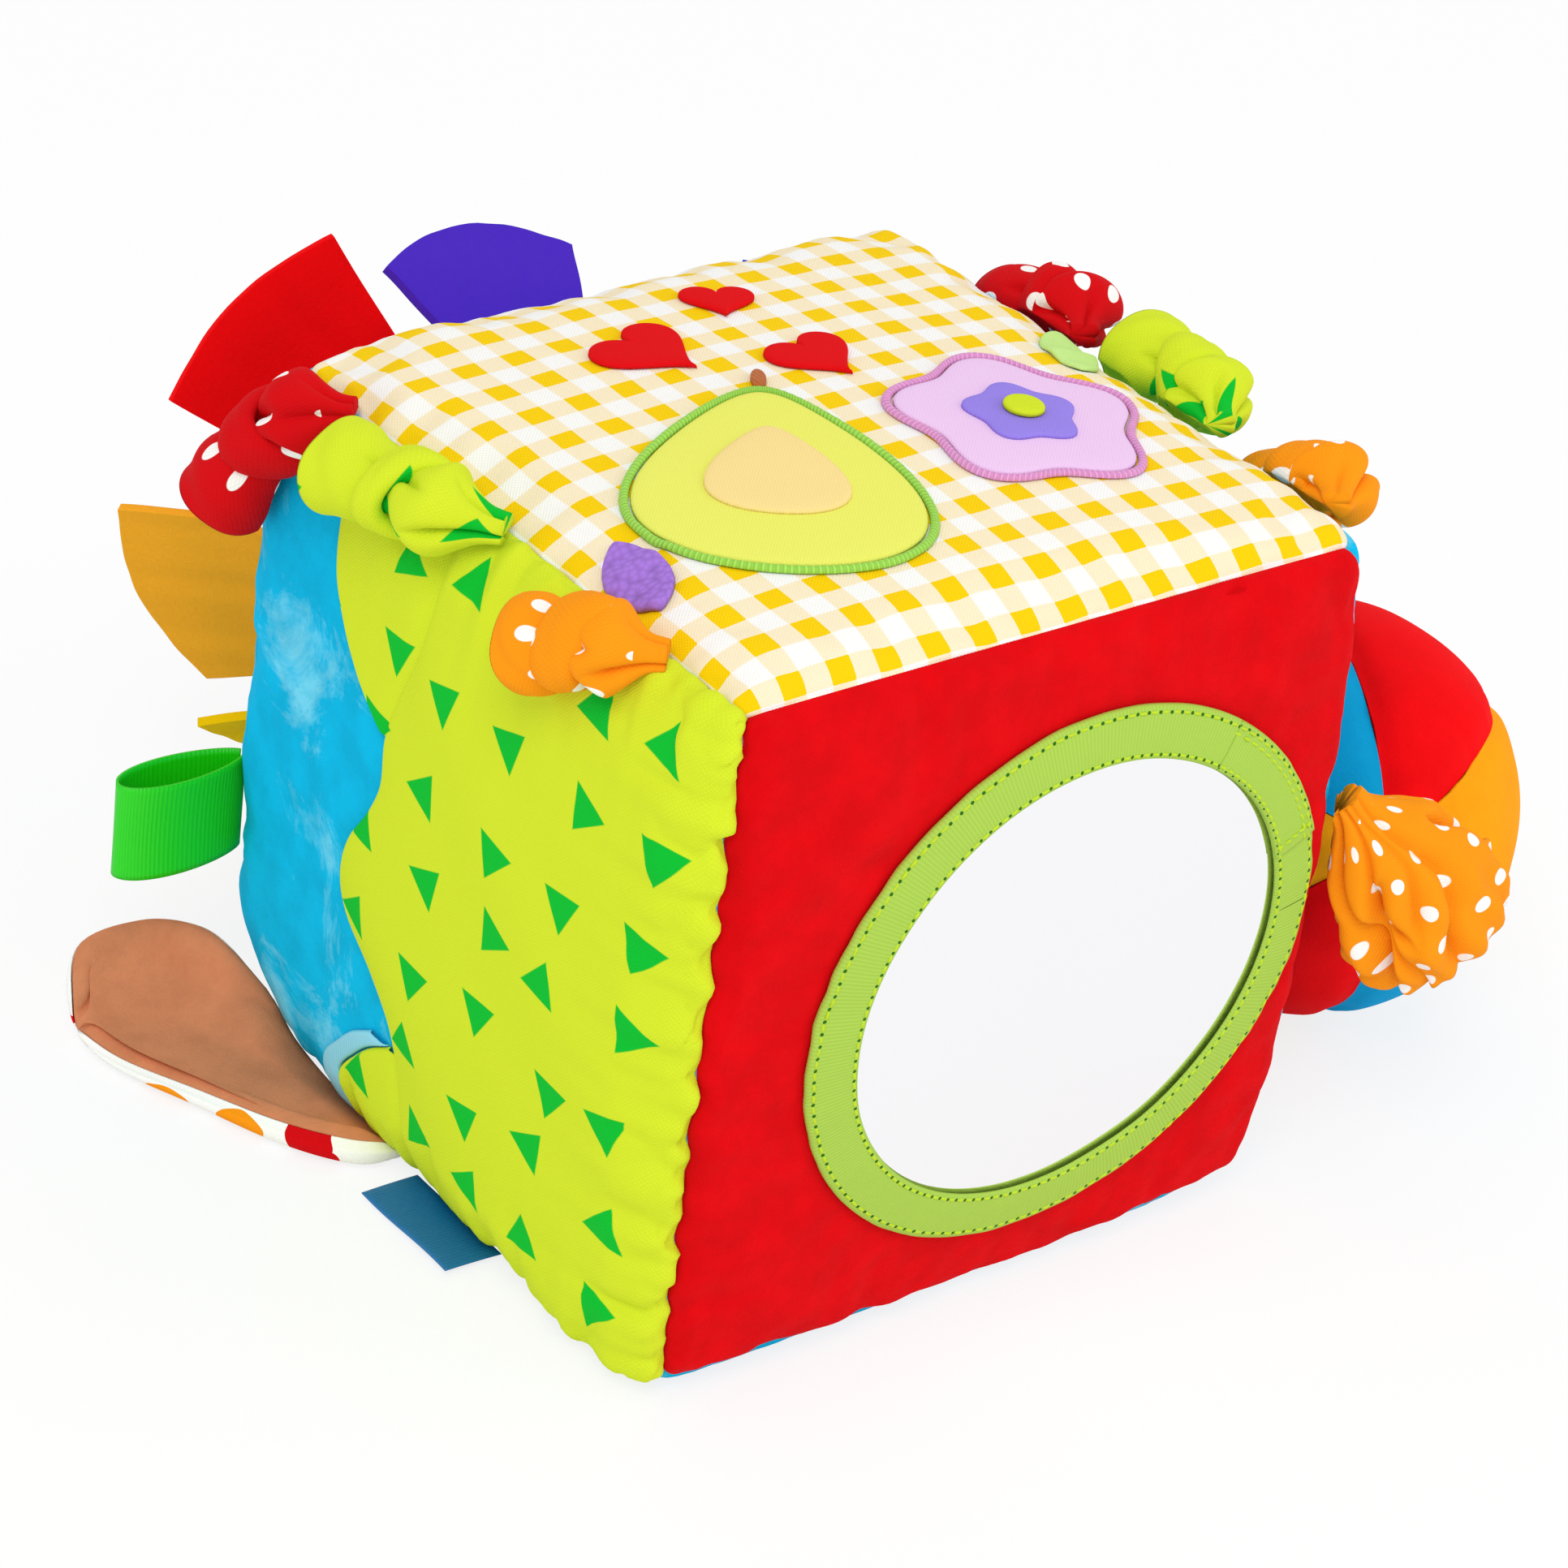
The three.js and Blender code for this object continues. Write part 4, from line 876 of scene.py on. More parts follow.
def band(name, face, middle, outline, turns, section, length, span=(0, 1)):
    """A closed band along an outline: section(t) gives how far out and how high it lies."""

    def place(s, t):
        turn = mix(span[0], span[1], s)
        x, y = outline(turn)
        out, lift = section(t, turn)
        far = np.hypot(x, y)
        return on_cover(face, middle[0] + x * (1 + out / far), middle[1] + y * (1 + out / far), lift)

    def cloth(s, t):
        return mix(span[0], span[1], s) * length, t * TAPE_SECTION_LENGTH

    piece = grid_piece(name, turns, BAND_CELLS, place, cloth)
    face_out(piece, weld=WELD_REACH)
    return piece


MIRROR_THICK = 1 * MM
MIRROR_SEAT = 0.3 * MM
TAPE_SECTION_LENGTH = 24 * MM
TAPE_WAVE = 0.12 * MM
TAPE_WAVE_PERIOD = 17 * MM
TAPE_WAVE_LENGTH = 360 * MM
# The taped ring waves outside this share of its width
TAPE_WAVE_SHARE = 0.2
# How much of a turn the tape's turned end takes to rise and to fall, and how askew it lies
LAP_RISE_TURN = 0.02
LAP_STITCH_RISE_TURN = 0.006
LAP_ASKEW = 0.7 * MM
LAP_ASKEW_TURN = 0.018
STITCH_COUNT = 132
NEEDLE_HOLE_RADIUS = 0.38 * MM
STITCH_LENGTH_SHARE = 0.8
STITCH_RADIUS = 0.36 * MM


def tape_height(share):
    """Height of the tape's upper face over the panel, at a share of its width."""
    return np.interp(share, [row[0] for row in RING_TOP], [row[1] * MM for row in RING_TOP])


def lapped(turn, rise):
    """How much of the tape's turned end lies under a place on the ring."""
    first, last = TAPE_LAP
    return ease((turn - first) / rise) * ease((last - turn) / rise)


def make_mirror():
    """The mirror film, its lapped tape and the rows of stitches that hold it."""
    s = sizes()
    middle = (s.mirror_right, -s.mirror_drop)
    film_outline = mirror_oval(s.mirror_radius)
    film = flat_pad("mirror_film", "mirror", middle, film_outline, 48, 128, MIRROR_SEAT, MIRROR_THICK)
    map_flat(film, "mirror")
    dress(film, mirror_film(), "mirror_film", "mirror_sheet")
    outs = np.array([row[0] for row in RING_SECTION]) * s.ring_width
    lifts = np.array([row[1] for row in RING_SECTION]) * MM
    at = np.concatenate([[0], np.cumsum(np.hypot(np.diff(outs), np.diff(lifts)))])
    at /= at[-1]

    def section(t, turn):
        wave = TAPE_WAVE * ripple(turn * TAPE_WAVE_LENGTH, TAPE_WAVE_PERIOD, 3)
        out = np.interp(t, at, outs)
        return out, np.interp(t, at, lifts) + wave * (out > TAPE_WAVE_SHARE * s.ring_width)

    def lap_section(t, turn):
        """The tape's turned end lies over its beginning, a little askew at its outer corner."""
        angle = math.tau * t
        askew = LAP_ASKEW * bell(turn - TAPE_LAP[0], LAP_ASKEW_TURN)
        out = s.ring_width * (0.5 - 0.49 * np.cos(angle)) + askew * (t > 0.25) * (t < 0.75)
        round_it = np.clip(np.sin(angle) * 3, -0.5, 1)
        over = TAPE_LAP_THICK * round_it * mix(0.4, 1, lapped(turn, LAP_RISE_TURN))
        return out, tape_height(out / s.ring_width) + over

    length = math.tau * (s.ring_inner + s.ring_width / 2)
    upper = slice(1, 1 + len(RING_TOP))
    row_places = [
        float(np.interp(share * s.ring_width, outs[upper], at[upper])) * TAPE_SECTION_LENGTH
        for share in STITCH_ROWS.values()
    ]
    tape = woven_tape(length / STITCH_COUNT, row_places)
    outline = mirror_oval(s.ring_inner)
    ring = band("mirror_tape", "mirror", middle, outline, 256, section, length)
    dress(ring, tape, "green_tape", "mirror_ring")
    lap = band("mirror_tape_end", "mirror", middle, outline, 40, lap_section, length, TAPE_LAP)
    close_ends(lap)
    dress(lap, tape, "green_tape", body=BODY_OF["mirror_ring"])
    thread = polyester_thread()
    around = np.arange(STITCH_COUNT) / STITCH_COUNT

    def along(share, turns):
        return [
            (
                turn, share, 1 / STITCH_COUNT, 0,
                tape_height(share) + TAPE_LAP_THICK * lapped(turn, LAP_STITCH_RISE_TURN),
            )
            for turn in turns
        ]

    rows = {row: along(share, around) for row, share in STITCH_ROWS.items()}
    on_lap = around[(around > TAPE_LAP[0]) & (around < TAPE_LAP[1])]
    rows["doubled"] = along(DOUBLED_ROW_SHARE, on_lap + DOUBLED_ROW_SHIFT)
    rows["across"] = [
        (TAPE_LAP[0] + CROSS_ROW_SHIFT, share, 0, CROSS_STITCH_SHARE, tape_height(share) + TAPE_LAP_THICK)
        for share in np.linspace(*CROSS_ROW_SHARES, CROSS_STITCHES)
    ]
    for row, places in rows.items():
        stitches = stitch_row("tape_stitches_" + row, "mirror", middle, outline, places)
        dress(stitches, thread, "green_tape", body=BODY_OF["mirror_ring"])


def close_ends(piece):
    """Closes the open ends of a tube with faces."""
    pick(piece)
    bpy.ops.object.mode_set(mode="EDIT")
    bpy.ops.mesh.select_mode(type="EDGE")
    bpy.ops.mesh.select_all(action="DESELECT")
    bpy.ops.mesh.select_non_manifold()
    bpy.ops.mesh.edge_face_add()
    bpy.ops.mesh.select_all(action="SELECT")
    turn_outwards()
    bpy.ops.mesh.select_mode(type="VERT")
    bpy.ops.object.mode_set(mode="OBJECT")


def stitch_row(name, face, middle, outline, places):
    """One stitch copied to places: a turn, a share of the tape's width, its run along both, its height."""
    s = sizes()
    counts = {"segments": 6, "ring_count": 5}
    first = start_piece(name, bpy.ops.mesh.primitive_uv_sphere_add, radius=1, **counts)
    shape = points_of(first)
    round_length = math.tau * (s.ring_inner + s.ring_width / 2)
    copies = []
    for k, (turn, share, turn_run, share_run, lift) in enumerate(places):
        stitch = first if k == 0 else first.copy()
        if k:
            stitch.data = first.data.copy()
            bpy.context.collection.objects.link(stitch)
        end_on = shape[:, 2] * STITCH_LENGTH_SHARE / 2
        side_on = shape[:, 0] * STITCH_RADIUS
        straight = turn_run > 0
        here = turn + end_on * turn_run + (0 if straight else side_on / round_length)
        out = share * s.ring_width + end_on * share_run * s.ring_width + (side_on if straight else 0)
        x, y = outline(here)
        far = 1 + out / np.hypot(x, y)
        height = lift + (shape[:, 1] * 0.8 - 0.6 * shape[:, 2] ** 4) * STITCH_RADIUS
        put_points(stitch, on_cover(face, middle[0] + x * far, middle[1] + y * far, height))
        copies.append(stitch)
    pick(*copies)
    bpy.ops.object.join()
    row = bpy.context.object
    row.name = name
    face_out(row)
    points = points_of(row)
    map_cloth(row, points[:, 0], points[:, 2])
    return row


# The hills on the left panel


def hill_line(rows, up):
    """How far right a hill's line lies at a height."""
    half = sizes().cube_side / 2
    return mix(-half, half, curve_at(rows, (half - up) / (2 * half)))


VALLEY_REACH = 3 * MM
HILL_EDGE_ROUND = 1.4 * MM
HILL_RISE = 7 * MM
HILL_CLOTH_THICK = 0.25 * MM
HILL_ROLL = 0.4 * MM
HILL_ROLL_PERIOD = 61 * MM
HILL_LEAST_LIFT = 0.05 * MM
VALLEY_SHARE = 0.55
# How soon a hill rises from the seam that it runs into, and its gathers with it
SEAM_RISE = 2.2 * MM
GATHER_RISE = 1.2 * MM
GATHER_PERIOD = 11 * MM
GATHER_REACH = 12 * MM
GATHER_LIFT = 1.3 * MM
FINE_GATHER_PERIOD = 4.6 * MM
FINE_GATHER_REACH = 4.5 * MM
FINE_GATHER_LIFT = 0.45 * MM


def hill_lift(full, from_line, to_line, right, up):
    """Lift of a stuffed hill: round at its sewn line, gathered at the seams that it runs into."""
    s = sizes()
    half = s.cube_side / 2
    sides = ((half - right, up, 1), (half - np.abs(up), right, 0.7))
    rim = np.clip(from_line / HILL_EDGE_ROUND, 0, 1)
    rounded = HILL_EDGE_ROUND * np.sqrt(np.clip(1 - (1 - rim) ** 2, 0, 1))
    rise = (full - HILL_EDGE_ROUND) * (1 - np.exp(-from_line / HILL_RISE))
    lift = rounded + rise + HILL_ROLL * ripple(right + up, HILL_ROLL_PERIOD, 2)
    if full < s.hill_pad:
        lift = lift * (1 - VALLEY_SHARE * bell(to_line, VALLEY_REACH))
    for gap, along, share in sides:
        lift = lift * (1 - np.exp(-gap / SEAM_RISE))
        swell = 1 - np.exp(-gap / GATHER_RISE)
        gather = ripple(along, GATHER_PERIOD, 2) * np.exp(-gap / GATHER_REACH) * GATHER_LIFT
        fine = ripple(along, FINE_GATHER_PERIOD, 7) * np.exp(-gap / FINE_GATHER_REACH)
        lift += share * swell * (gather + fine * FINE_GATHER_LIFT)
    return s.seat_gap + np.maximum(lift, HILL_LEAST_LIFT)


def hill_sheet(name, columns, rows, low_up, high_up, start_of, end_of, full):
    """A hill between two lines and two heights."""

    def flat(s, t):
        up = mix(low_up, high_up, crowded_share(t))
        start, end = start_of(up), end_of(up)
        across = crowded_share(s)
        return mix(start, end, across), up, start, end

    def place(s, t):
        right, up, start, end = flat(s, t)
        return on_cover("left", right, up, hill_lift(full, right - start, end - right, right, up))

    piece = grid_piece(name, columns, rows, place, lambda s, t: flat(s, t)[:2])
    thicken(piece, HILL_CLOTH_THICK)
    return piece


LAYER_GAP = 0.4 * MM
VALLEY_OVERLAP = 1.1 * MM
LOBE_TIP_WIDTH = 2 * MM
EDGING_RISE = 0.9 * MM


def make_hills():
    """The stuffed hills and the pale strip over the lower one."""
    s = sizes()
    half = s.cube_side / 2
    lime = printed_lime()

    def front_line(up):
        return hill_line(FRONT_HILL_SHARES, up)

    def lobe_end(up):
        return front_line(up) + VALLEY_OVERLAP

    def lobe_line(rows):
        return lambda up: np.minimum(hill_line(rows, up), lobe_end(up) - LOBE_TIP_WIDTH)

    upper_line, lower_line = lobe_line(UPPER_HILL_SHARES), lobe_line(LOWER_HILL_SHARES)
    upper_foot = half - UPPER_HILL_SHARES[-1][0] * s.cube_side
    lower_head = half - LOWER_HILL_SHARES[0][0] * s.cube_side
    hills = {
        "front_hill": (110, 150, -half, half, front_line, lambda up: half + up * 0, s.hill_pad, 0.5),
        "upper_hill": (40, 70, upper_foot, half, upper_line, lobe_end, s.lobe_pad, 0.4),
        "lower_hill": (40, 40, -half, lower_head, lower_line, lobe_end, s.lobe_pad, 0.4),
    }
    for node, (*form, fill) in hills.items():
        piece = hill_sheet(node + "_cloth", *form)
        dress(piece, lime, "lime_cotton", node)

    def flat(a, t):
        up = mix(-half, lower_head, t)
        end = lower_line(up) - LAYER_GAP
        return mix(end - s.edging_width, end, a), up

    def place(a, t):
        right, up = flat(a, t)
        rise = EDGING_RISE * (1 - (2 * a - 1) ** 4) ** 0.5
        return on_cover("left", right, up, s.seat_gap + rise)

    edging = grid_piece("pale_edging_strip", 14, 30, place, flat)
    thicken(edging, HILL_CLOTH_THICK)
    dress(edging, satin("pale blue satin", paint("pale_blue")), "pale_blue_satin", "pale_edging")


# The sewn pictures on the top


def heart_outline(width):
    """A heart with round cheeks and a soft foot."""

    def form(a):
        up = sum(share * np.cos((k + 1) * a) for k, share in enumerate(HEART_WAVE_SHARES))
        return -width / 2 * np.sin(a) ** 3, width * up

    return outline_of(form)


def pear_outline(length, width):
    """A pear, narrow at its stalk."""

    def form(a):
        side = np.sin(a) + PEAR_WAIST_SHARE * np.sin(2 * a)
        return width / 2 * side, -length / 2 * np.cos(a)

    return outline_of(form)


def leaf_outline(length, width):
    """A leaf with two pointed ends."""

    def form(a):
        return length / 2 * np.cos(a), width / 2 * np.sin(a) * np.sqrt(np.abs(np.sin(a)))

    return outline_of(form)


def flower_outline(radius):
    """A flower of five soft lobes."""

    def form(a):
        reach = radius * (1 + FLOWER_WAVE_SHARE * np.cos(5 * a))
        return reach * np.cos(a), reach * np.sin(a)

    return outline_of(form)


PEAR_SIZE = (62 * MM, 49 * MM)
PEAR_ANGLE = -32
STALK_SIZE = (7 * MM, 3 * MM)
LEAF_SIZE = (22 * MM, 12 * MM)
FLOWER_RADIUS = 22 * MM
FLOWER_EYE_RADIUS = 10.5 * MM
FLOWER_SPOT_RADIUS = 4 * MM
SATIN_HEIGHT = 1 * MM
SATIN_THREAD_LIFT = 0.06 * MM
SATIN_PITCH = 0.9 * MM
PEAR_ROUND = 170 * MM
FLOWER_ROUND = 130 * MM
TERRY_THICK = 1.6 * MM


def satin_border(node, middle, outline, length, material, slot):
    """A round cord of close stitches over a patch's edge."""
    s = sizes()

    def section(t, turn):
        angle = math.tau * t
        out = s.satin_width / 2 * (1 - np.cos(angle)) + s.seat_gap
        thread = SATIN_THREAD_LIFT * np.sin(math.tau * turn * length / SATIN_PITCH)
        top = np.where(t < 0.5, np.sin(np.clip(angle, 0, math.pi)), 0)
        return out, s.seat_gap + (SATIN_HEIGHT + thread) * top

    piece = band(node + "_stitch", "top", middle, outline, 260, section, length)
    dress(piece, material, slot, node)


def make_pictures():
    """Felt hearts, a pear, two leaves and a flower, sewn on the gingham."""
    s = sizes()
    second = s.seat_gap + s.applique_thick
    third = second + s.seat_gap + s.applique_thick

    def at(share):
        return share[0] * s.cube_side, share[1] * s.cube_side

    def patch(node, place, outline, material, slot, low=s.seat_gap, thick=s.applique_thick):
        piece = flat_pad(node + "_cloth", "top", at(place), outline, 26, 96, low, thick, firm=5)
        map_flat(piece, "top")
        dress(piece, material, slot, node)
        x, y = outline(np.linspace(0, 1, 97))

    def leaf(node, material, slot, **more):
        leaf_place = LEAVES[node]
        outline = turned(leaf_outline(*LEAF_SIZE), leaf_place["angle"])
        patch(node, leaf_place["place"], outline, material, slot, **more)

    felt_red = felt("red wool felt", paint("heart"))
    for node, heart in HEARTS.items():
        outline = turned(heart_outline(heart["width"]), heart["angle"])
        patch(node, heart["place"], outline, felt_red, "red_felt")
    length, width = PEAR_SIZE
    pear = turned(pear_outline(length, width), PEAR_ANGLE)
    pear_cotton = plain_cotton("pale lime cotton", paint("pear"))
    patch("pear_patch", PEAR_PLACE_SHARE, pear, pear_cotton, "pale_lime_cotton")
    edge = satin_stitch("green satin stitch", paint("pear_edge"))
    satin_border("pear_border", at(PEAR_PLACE_SHARE), pear, PEAR_ROUND, edge, "green_satin_thread")
    core = turned(pear_outline(length / 2, width / 2), PEAR_ANGLE)
    peach = plain_cotton("peach cotton", paint("peach"))
    patch("pear_core_patch", PEAR_PLACE_SHARE, core, peach, "peach_cotton", second)
    stalk_length, stalk_width = STALK_SIZE
    stalk_far = (length / 2 + s.satin_width + s.seat_gap + stalk_length / 2) / s.cube_side
    a = math.radians(PEAR_ANGLE)
    stalk_place = (
        PEAR_PLACE_SHARE[0] - stalk_far * math.sin(a), PEAR_PLACE_SHARE[1] + stalk_far * math.cos(a),
    )
    stalk = turned(oval(stalk_width / 2, stalk_length / 2), PEAR_ANGLE)
    brown = satin_stitch("brown satin stitch", paint("twig"))
    patch("pear_stalk", stalk_place, stalk, brown, "brown_thread")
    leaf("terry_leaf", terry_cloth("purple terry", paint("terry")), "purple_terry", thick=TERRY_THICK)
    leaf("pale_leaf", plain_cotton("pale leaf cotton", paint("pale_leaf")), "pale_lime_cotton")
    flower = flower_outline(FLOWER_RADIUS)
    pink = plain_cotton("pink cotton", paint("pink"))
    patch("flower_patch", FLOWER_PLACE_SHARE, flower, pink, "pink_cotton")
    edge = satin_stitch("pink satin stitch", paint("pink_edge"))
    satin_border("flower_border", at(FLOWER_PLACE_SHARE), flower, FLOWER_ROUND, edge, "pink_satin_thread")
    eye = flower_outline(FLOWER_EYE_RADIUS)
    violet = plain_cotton("violet cotton", paint("violet"))
    patch("flower_eye", FLOWER_PLACE_SHARE, eye, violet, "violet_cotton", second)
    lime = felt("lime felt", paint("lime"))
    patch("flower_spot", FLOWER_PLACE_SHARE, circle(FLOWER_SPOT_RADIUS), lime, "lime_spot_cotton", third)


# The gathered tails and the puff

PRESS_MARGIN = 0.6 * MM
PRESS_HILL_EASE = 10 * MM
PRESS_HILL_OVER = 1 * MM


def press_out(points):
    """Pushes points that would lie in the filled cube out of it, to a margin over its cover."""
    s = sizes()
    half = s.cube_side / 2
    flat = half - s.edge_round
    middle = np.array([0, 0, half])
    belly = 1 + s.belly_share * (1 - ((points[:, 2] - half) / half) ** 2)
    centred = points - middle
    centred[:, :2] /= belly[:, None]
    core = np.clip(centred, -flat, flat)
    away = centred - core
    far = np.linalg.norm(away, axis=1)
    way = unit(away)
    share = centred / half
    swell = np.zeros(len(points))
    for k in range(3):
        beside, over = (share[:, n] for n in range(3) if n != k)
        crown = s.panel_crown * np.clip(1 - beside**2, 0, 1) * np.clip(1 - over**2, 0, 1)
        swell += crown * np.abs(way[:, k])
    inland = half - np.maximum(np.abs(centred[:, 1]), np.abs(centred[:, 2]))
    hills = (s.hill_pad + PRESS_HILL_OVER) * np.clip(-way[:, 0], 0, 1)
    need = s.edge_round + PRESS_MARGIN + swell + hills * ease(inland / PRESS_HILL_EASE)
    inside = (far < need) & (far > 0)
    pushed = core + way * need[:, None]
    pushed[:, :2] *= belly[:, None]
    return np.where(inside[:, None], pushed + middle, points)


CLOTH_WALL = 0.7 * MM


def sleeve(share, radii):
    """Share along a gathered sleeve and its radius, where its cloth turns in at the open end too."""
    outer = np.clip(share / RIM_SHARE, 0, 1)
    turned_in = np.clip((share - RIM_SHARE) / (1 - RIM_SHARE), 0, 1)
    along = np.where(share < RIM_SHARE, outer, 1 - RIM_DEPTH_SHARE * turned_in)
    radius = curve_at(radii, along) * MM - CLOTH_WALL * 2 * ease(turned_in * 6)
    return along, radius * (1 - turned_in**3)


KNOT_SHARE = 0.56
KNOT_RADIUS = 6.6 * MM
KNOT_THICK = 5.2 * MM
KNOT_WIDTH = 10 * MM
KNOT_SKEW = 2.6 * MM
KNOT_BULGE = 0.5 * MM
KNOT_UNEVEN_SHARE = 0.35
PLEAT_SHARE = 0.16
# How far the print of one tail's knot lies from the next one's
KNOT_PRINT_STEP = 5 * MM
TAIL_RINGS = 110
TAIL_SIDES = 144
TAIL_CREASES = 8
# Shares of a tail's length where a crease starts and ends, round its root and its knot
KNOT_CREASES = [(-0.2, 0.42), (0.3, 0.78), (-0.2, 0.3), (0.42, 1.2), (-0.1, 0.75), (0.36, 0.7)]
TAIL_CRUMPLE_SHARE = 0.05
CRUMPLE_PERIOD_SHARE = 0.31
# A tail's section: its width and its height as shares of its radius
TAIL_SECTION_SHARES = (1.06, 0.95)
TAIL_PRINT_ROUND = 50 * MM


def make_knot(name, spine, seed):
    """The turn of cloth that ties a tail: a flat wrinkled band round its narrowest place."""
    counts = {"major_segments": 96, "minor_segments": 28}
    torus = bpy.ops.mesh.primitive_torus_add
    knot = start_piece(name + "_knot", torus, major_radius=1, minor_radius=0.5, **counts)
    ring = points_of(knot)
    turn = np.arctan2(ring[:, 1], ring[:, 0])
    round_it = np.arctan2(ring[:, 2], np.hypot(ring[:, 0], ring[:, 1]) - 1)
    share = np.full(len(turn), KNOT_SHARE)
    after, before = shares_beside(share)
    ahead = unit(spine_at(spine, after) - spine_at(spine, before))
    across = unit(np.cross(np.array([0.0, 0.0, 1.0]), ahead))
    over = np.cross(ahead, across)
    width = KNOT_WIDTH * (1 + KNOT_UNEVEN_SHARE * np.sin(turn + 2.3 * seed)) / 2
    wrinkles = 1 - np.abs(np.sin(1.5 * round_it + 0.7 * np.sin(2 * turn + seed)))
    pleats = 1 - PLEAT_SHARE * wrinkles**2
    bulge = KNOT_BULGE * np.sin(3 * turn + seed)
    out = KNOT_RADIUS + KNOT_THICK / 2 * np.cos(round_it) * pleats + bulge
    along = width * np.sin(round_it) * pleats + KNOT_SKEW * np.sin(turn + seed)
    way = across * np.cos(turn)[:, None] + over * np.sin(turn)[:, None]
    points = spine_at(spine, share) + way * out[:, None] + ahead * along[:, None]
    put_points(knot, press_out(points))
    map_cloth(knot, turn * KNOT_RADIUS, round_it * KNOT_WIDTH / 4 + seed * KNOT_PRINT_STEP)
    face_out(knot)
    return knot


def make_tail(name, tail, material, slot):
    """A gathered cloth tail: a tied sleeve with sharp folds and an open, rolled end."""
    s = sizes()
    seat = np.array(JOINTS[name + "_swing"]["pos_m"])
    reach = np.array([tail["side"] * s.tail_reach, tail["length"], -tail["drop"]])
    spine = [seat + reach * np.array([out, along, down]) for along, out, down in TAIL_SPINE_SHARES]
    seed = tail["seed"]
    creases = draw_creases(
        np.random.default_rng(seed), TAIL_CREASES, 0.3, (-0.9, 0.9),
        lambda k: KNOT_CREASES[k % len(KNOT_CREASES)], (0.3, 0.5), (0.14, 0.3),
    )

    def place(share, angle):
        along, radius = sleeve(share, TAIL_RADII)
        crumple = ripple(along + 0.15 * np.sin(angle + seed), CRUMPLE_PERIOD_SHARE, seed)
        radius = radius * creased(along, angle, creases) * (1 + TAIL_CRUMPLE_SHARE * crumple)
        wide, high = (radius * part for part in TAIL_SECTION_SHARES)
        return press_out(tube_points(spine, along, angle, wide, high, (0, 0, 1)))

    print_size = (TAIL_PRINT_ROUND, tail["length"] / RIM_SHARE)
    piece = round_piece(name + "_cloth", TAIL_RINGS, TAIL_SIDES, place, print_size)
    knot = make_knot(name, spine, seed)
    pick(piece, knot)
    bpy.ops.object.join()
    dress(piece, material, slot, name)


def make_tails():
    """The six tails along the two top seams."""
    looks = {
        "red": (dotted_cotton("red dotted cotton", paint("red_cotton")), "red_dotted_cotton"),
        "orange": (orange_dots(), "orange_dotted_cotton"),
        "lime": (printed_lime(), "lime_cotton"),
    }
    for name, tail in TAILS.items():
        make_tail(name, tail, *looks[name.split("_")[1]])


PUFF_SPINE_SHARES = (0, 0.33, 0.66, 1)
PUFF_FALL_ANGLE = 52
PUFF_LEAN = 8 * MM
PUFF_FLAT_SHARE = 0.66
PUFF_FOLDS = 15
PUFF_SEED = 7
PUFF_RINGS = 150
PUFF_SIDES = 200
PUFF_PRINT_ROUND = 100 * MM
# Waves of the puff's open end: how many, how deep, and where they start
RUFFLE_COUNT = 13
RUFFLE_SHARE = 0.07
RUFFLE_START_SHARE = 0.45
PUFF_CRUMPLE_SHARE = 0.04


def make_puff():
    """The big gathered puff on the mirror's right seam."""
    s = sizes()
    seat = np.array(JOINTS["orange_puff_swing"]["pos_m"])
    fall = math.radians(PUFF_FALL_ANGLE)
    spine = []
    for share in PUFF_SPINE_SHARES:
        along = share * s.puff_length
        forward = PUFF_LEAN * float(ease(share))
        spine.append(seat + np.array([along * math.cos(fall), -forward, -along * math.sin(fall)]))
    creases = draw_creases(
        np.random.default_rng(PUFF_SEED), PUFF_FOLDS, 0.35, (-0.5, 0.9),
        lambda k: (0.3 if k % 3 == 0 else -0.2, 1.3 if k % 2 == 0 else 0.75), (0.22, 0.42), (0.08, 0.17),
    )

    def place(share, angle):
        along, radius = sleeve(share, PUFF_RADII)
        ruffle = np.sin(RUFFLE_COUNT * angle + 5 * along) * ease((along - RUFFLE_START_SHARE) * 2)
        crumple = ripple(along + 0.1 * np.sin(2 * angle), CRUMPLE_PERIOD_SHARE, 4)
        radius = radius * creased(along, angle, creases) * (1 + RUFFLE_SHARE * ruffle)
        radius = radius * (1 + PUFF_CRUMPLE_SHARE * crumple)
        points = tube_points(spine, along, angle, radius, radius * PUFF_FLAT_SHARE, (0, 1, 0))
        return press_out(points)

    print_size = (PUFF_PRINT_ROUND, s.puff_length / RIM_SHARE)
    piece = round_piece("orange_puff_cloth", PUFF_RINGS, PUFF_SIDES, place, print_size)
    dress(piece, orange_dots(), "orange_dotted_cotton", "orange_puff")


# The stuffed ball

BALL_WALL = 1.2 * MM
BALL_SEAM_TRIM = 0.1 * MM
BALL_SEAM_DIP = 1.5 * MM
BALL_SEAM_REACH = 3.2 * MM
BALL_PUCKER_PERIOD = 8 * MM
BALL_PUCKER_LIFT = 0.35 * MM
BALL_PUCKER_REACH = 5 * MM
BALL_PUCKER_RISE = 1 * MM
BALL_SLACK = 0.5 * MM
BALL_SLACK_PERIOD = 37 * MM
BALL_SLACK_SLANT = 20 * MM
# How near a wedge comes to its pole, as an angle, and how much of it a seam may take there
POLE_ANGLE = 0.012
SEAM_TRIM_SHARE = 0.3
TAPE_ROUND = 0.3 * MM


def ball_frame():
    """Middle of the ball, its pole and two directions across it."""
    low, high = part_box("ball_filling")
    pole = unit(np.array(BALL_POLE, float))
    side = np.array(BALL_SIDE, float)
    side = unit(side - pole * (side @ pole))
    return np.array((low + high) / 2), pole, side, np.cross(pole, side)


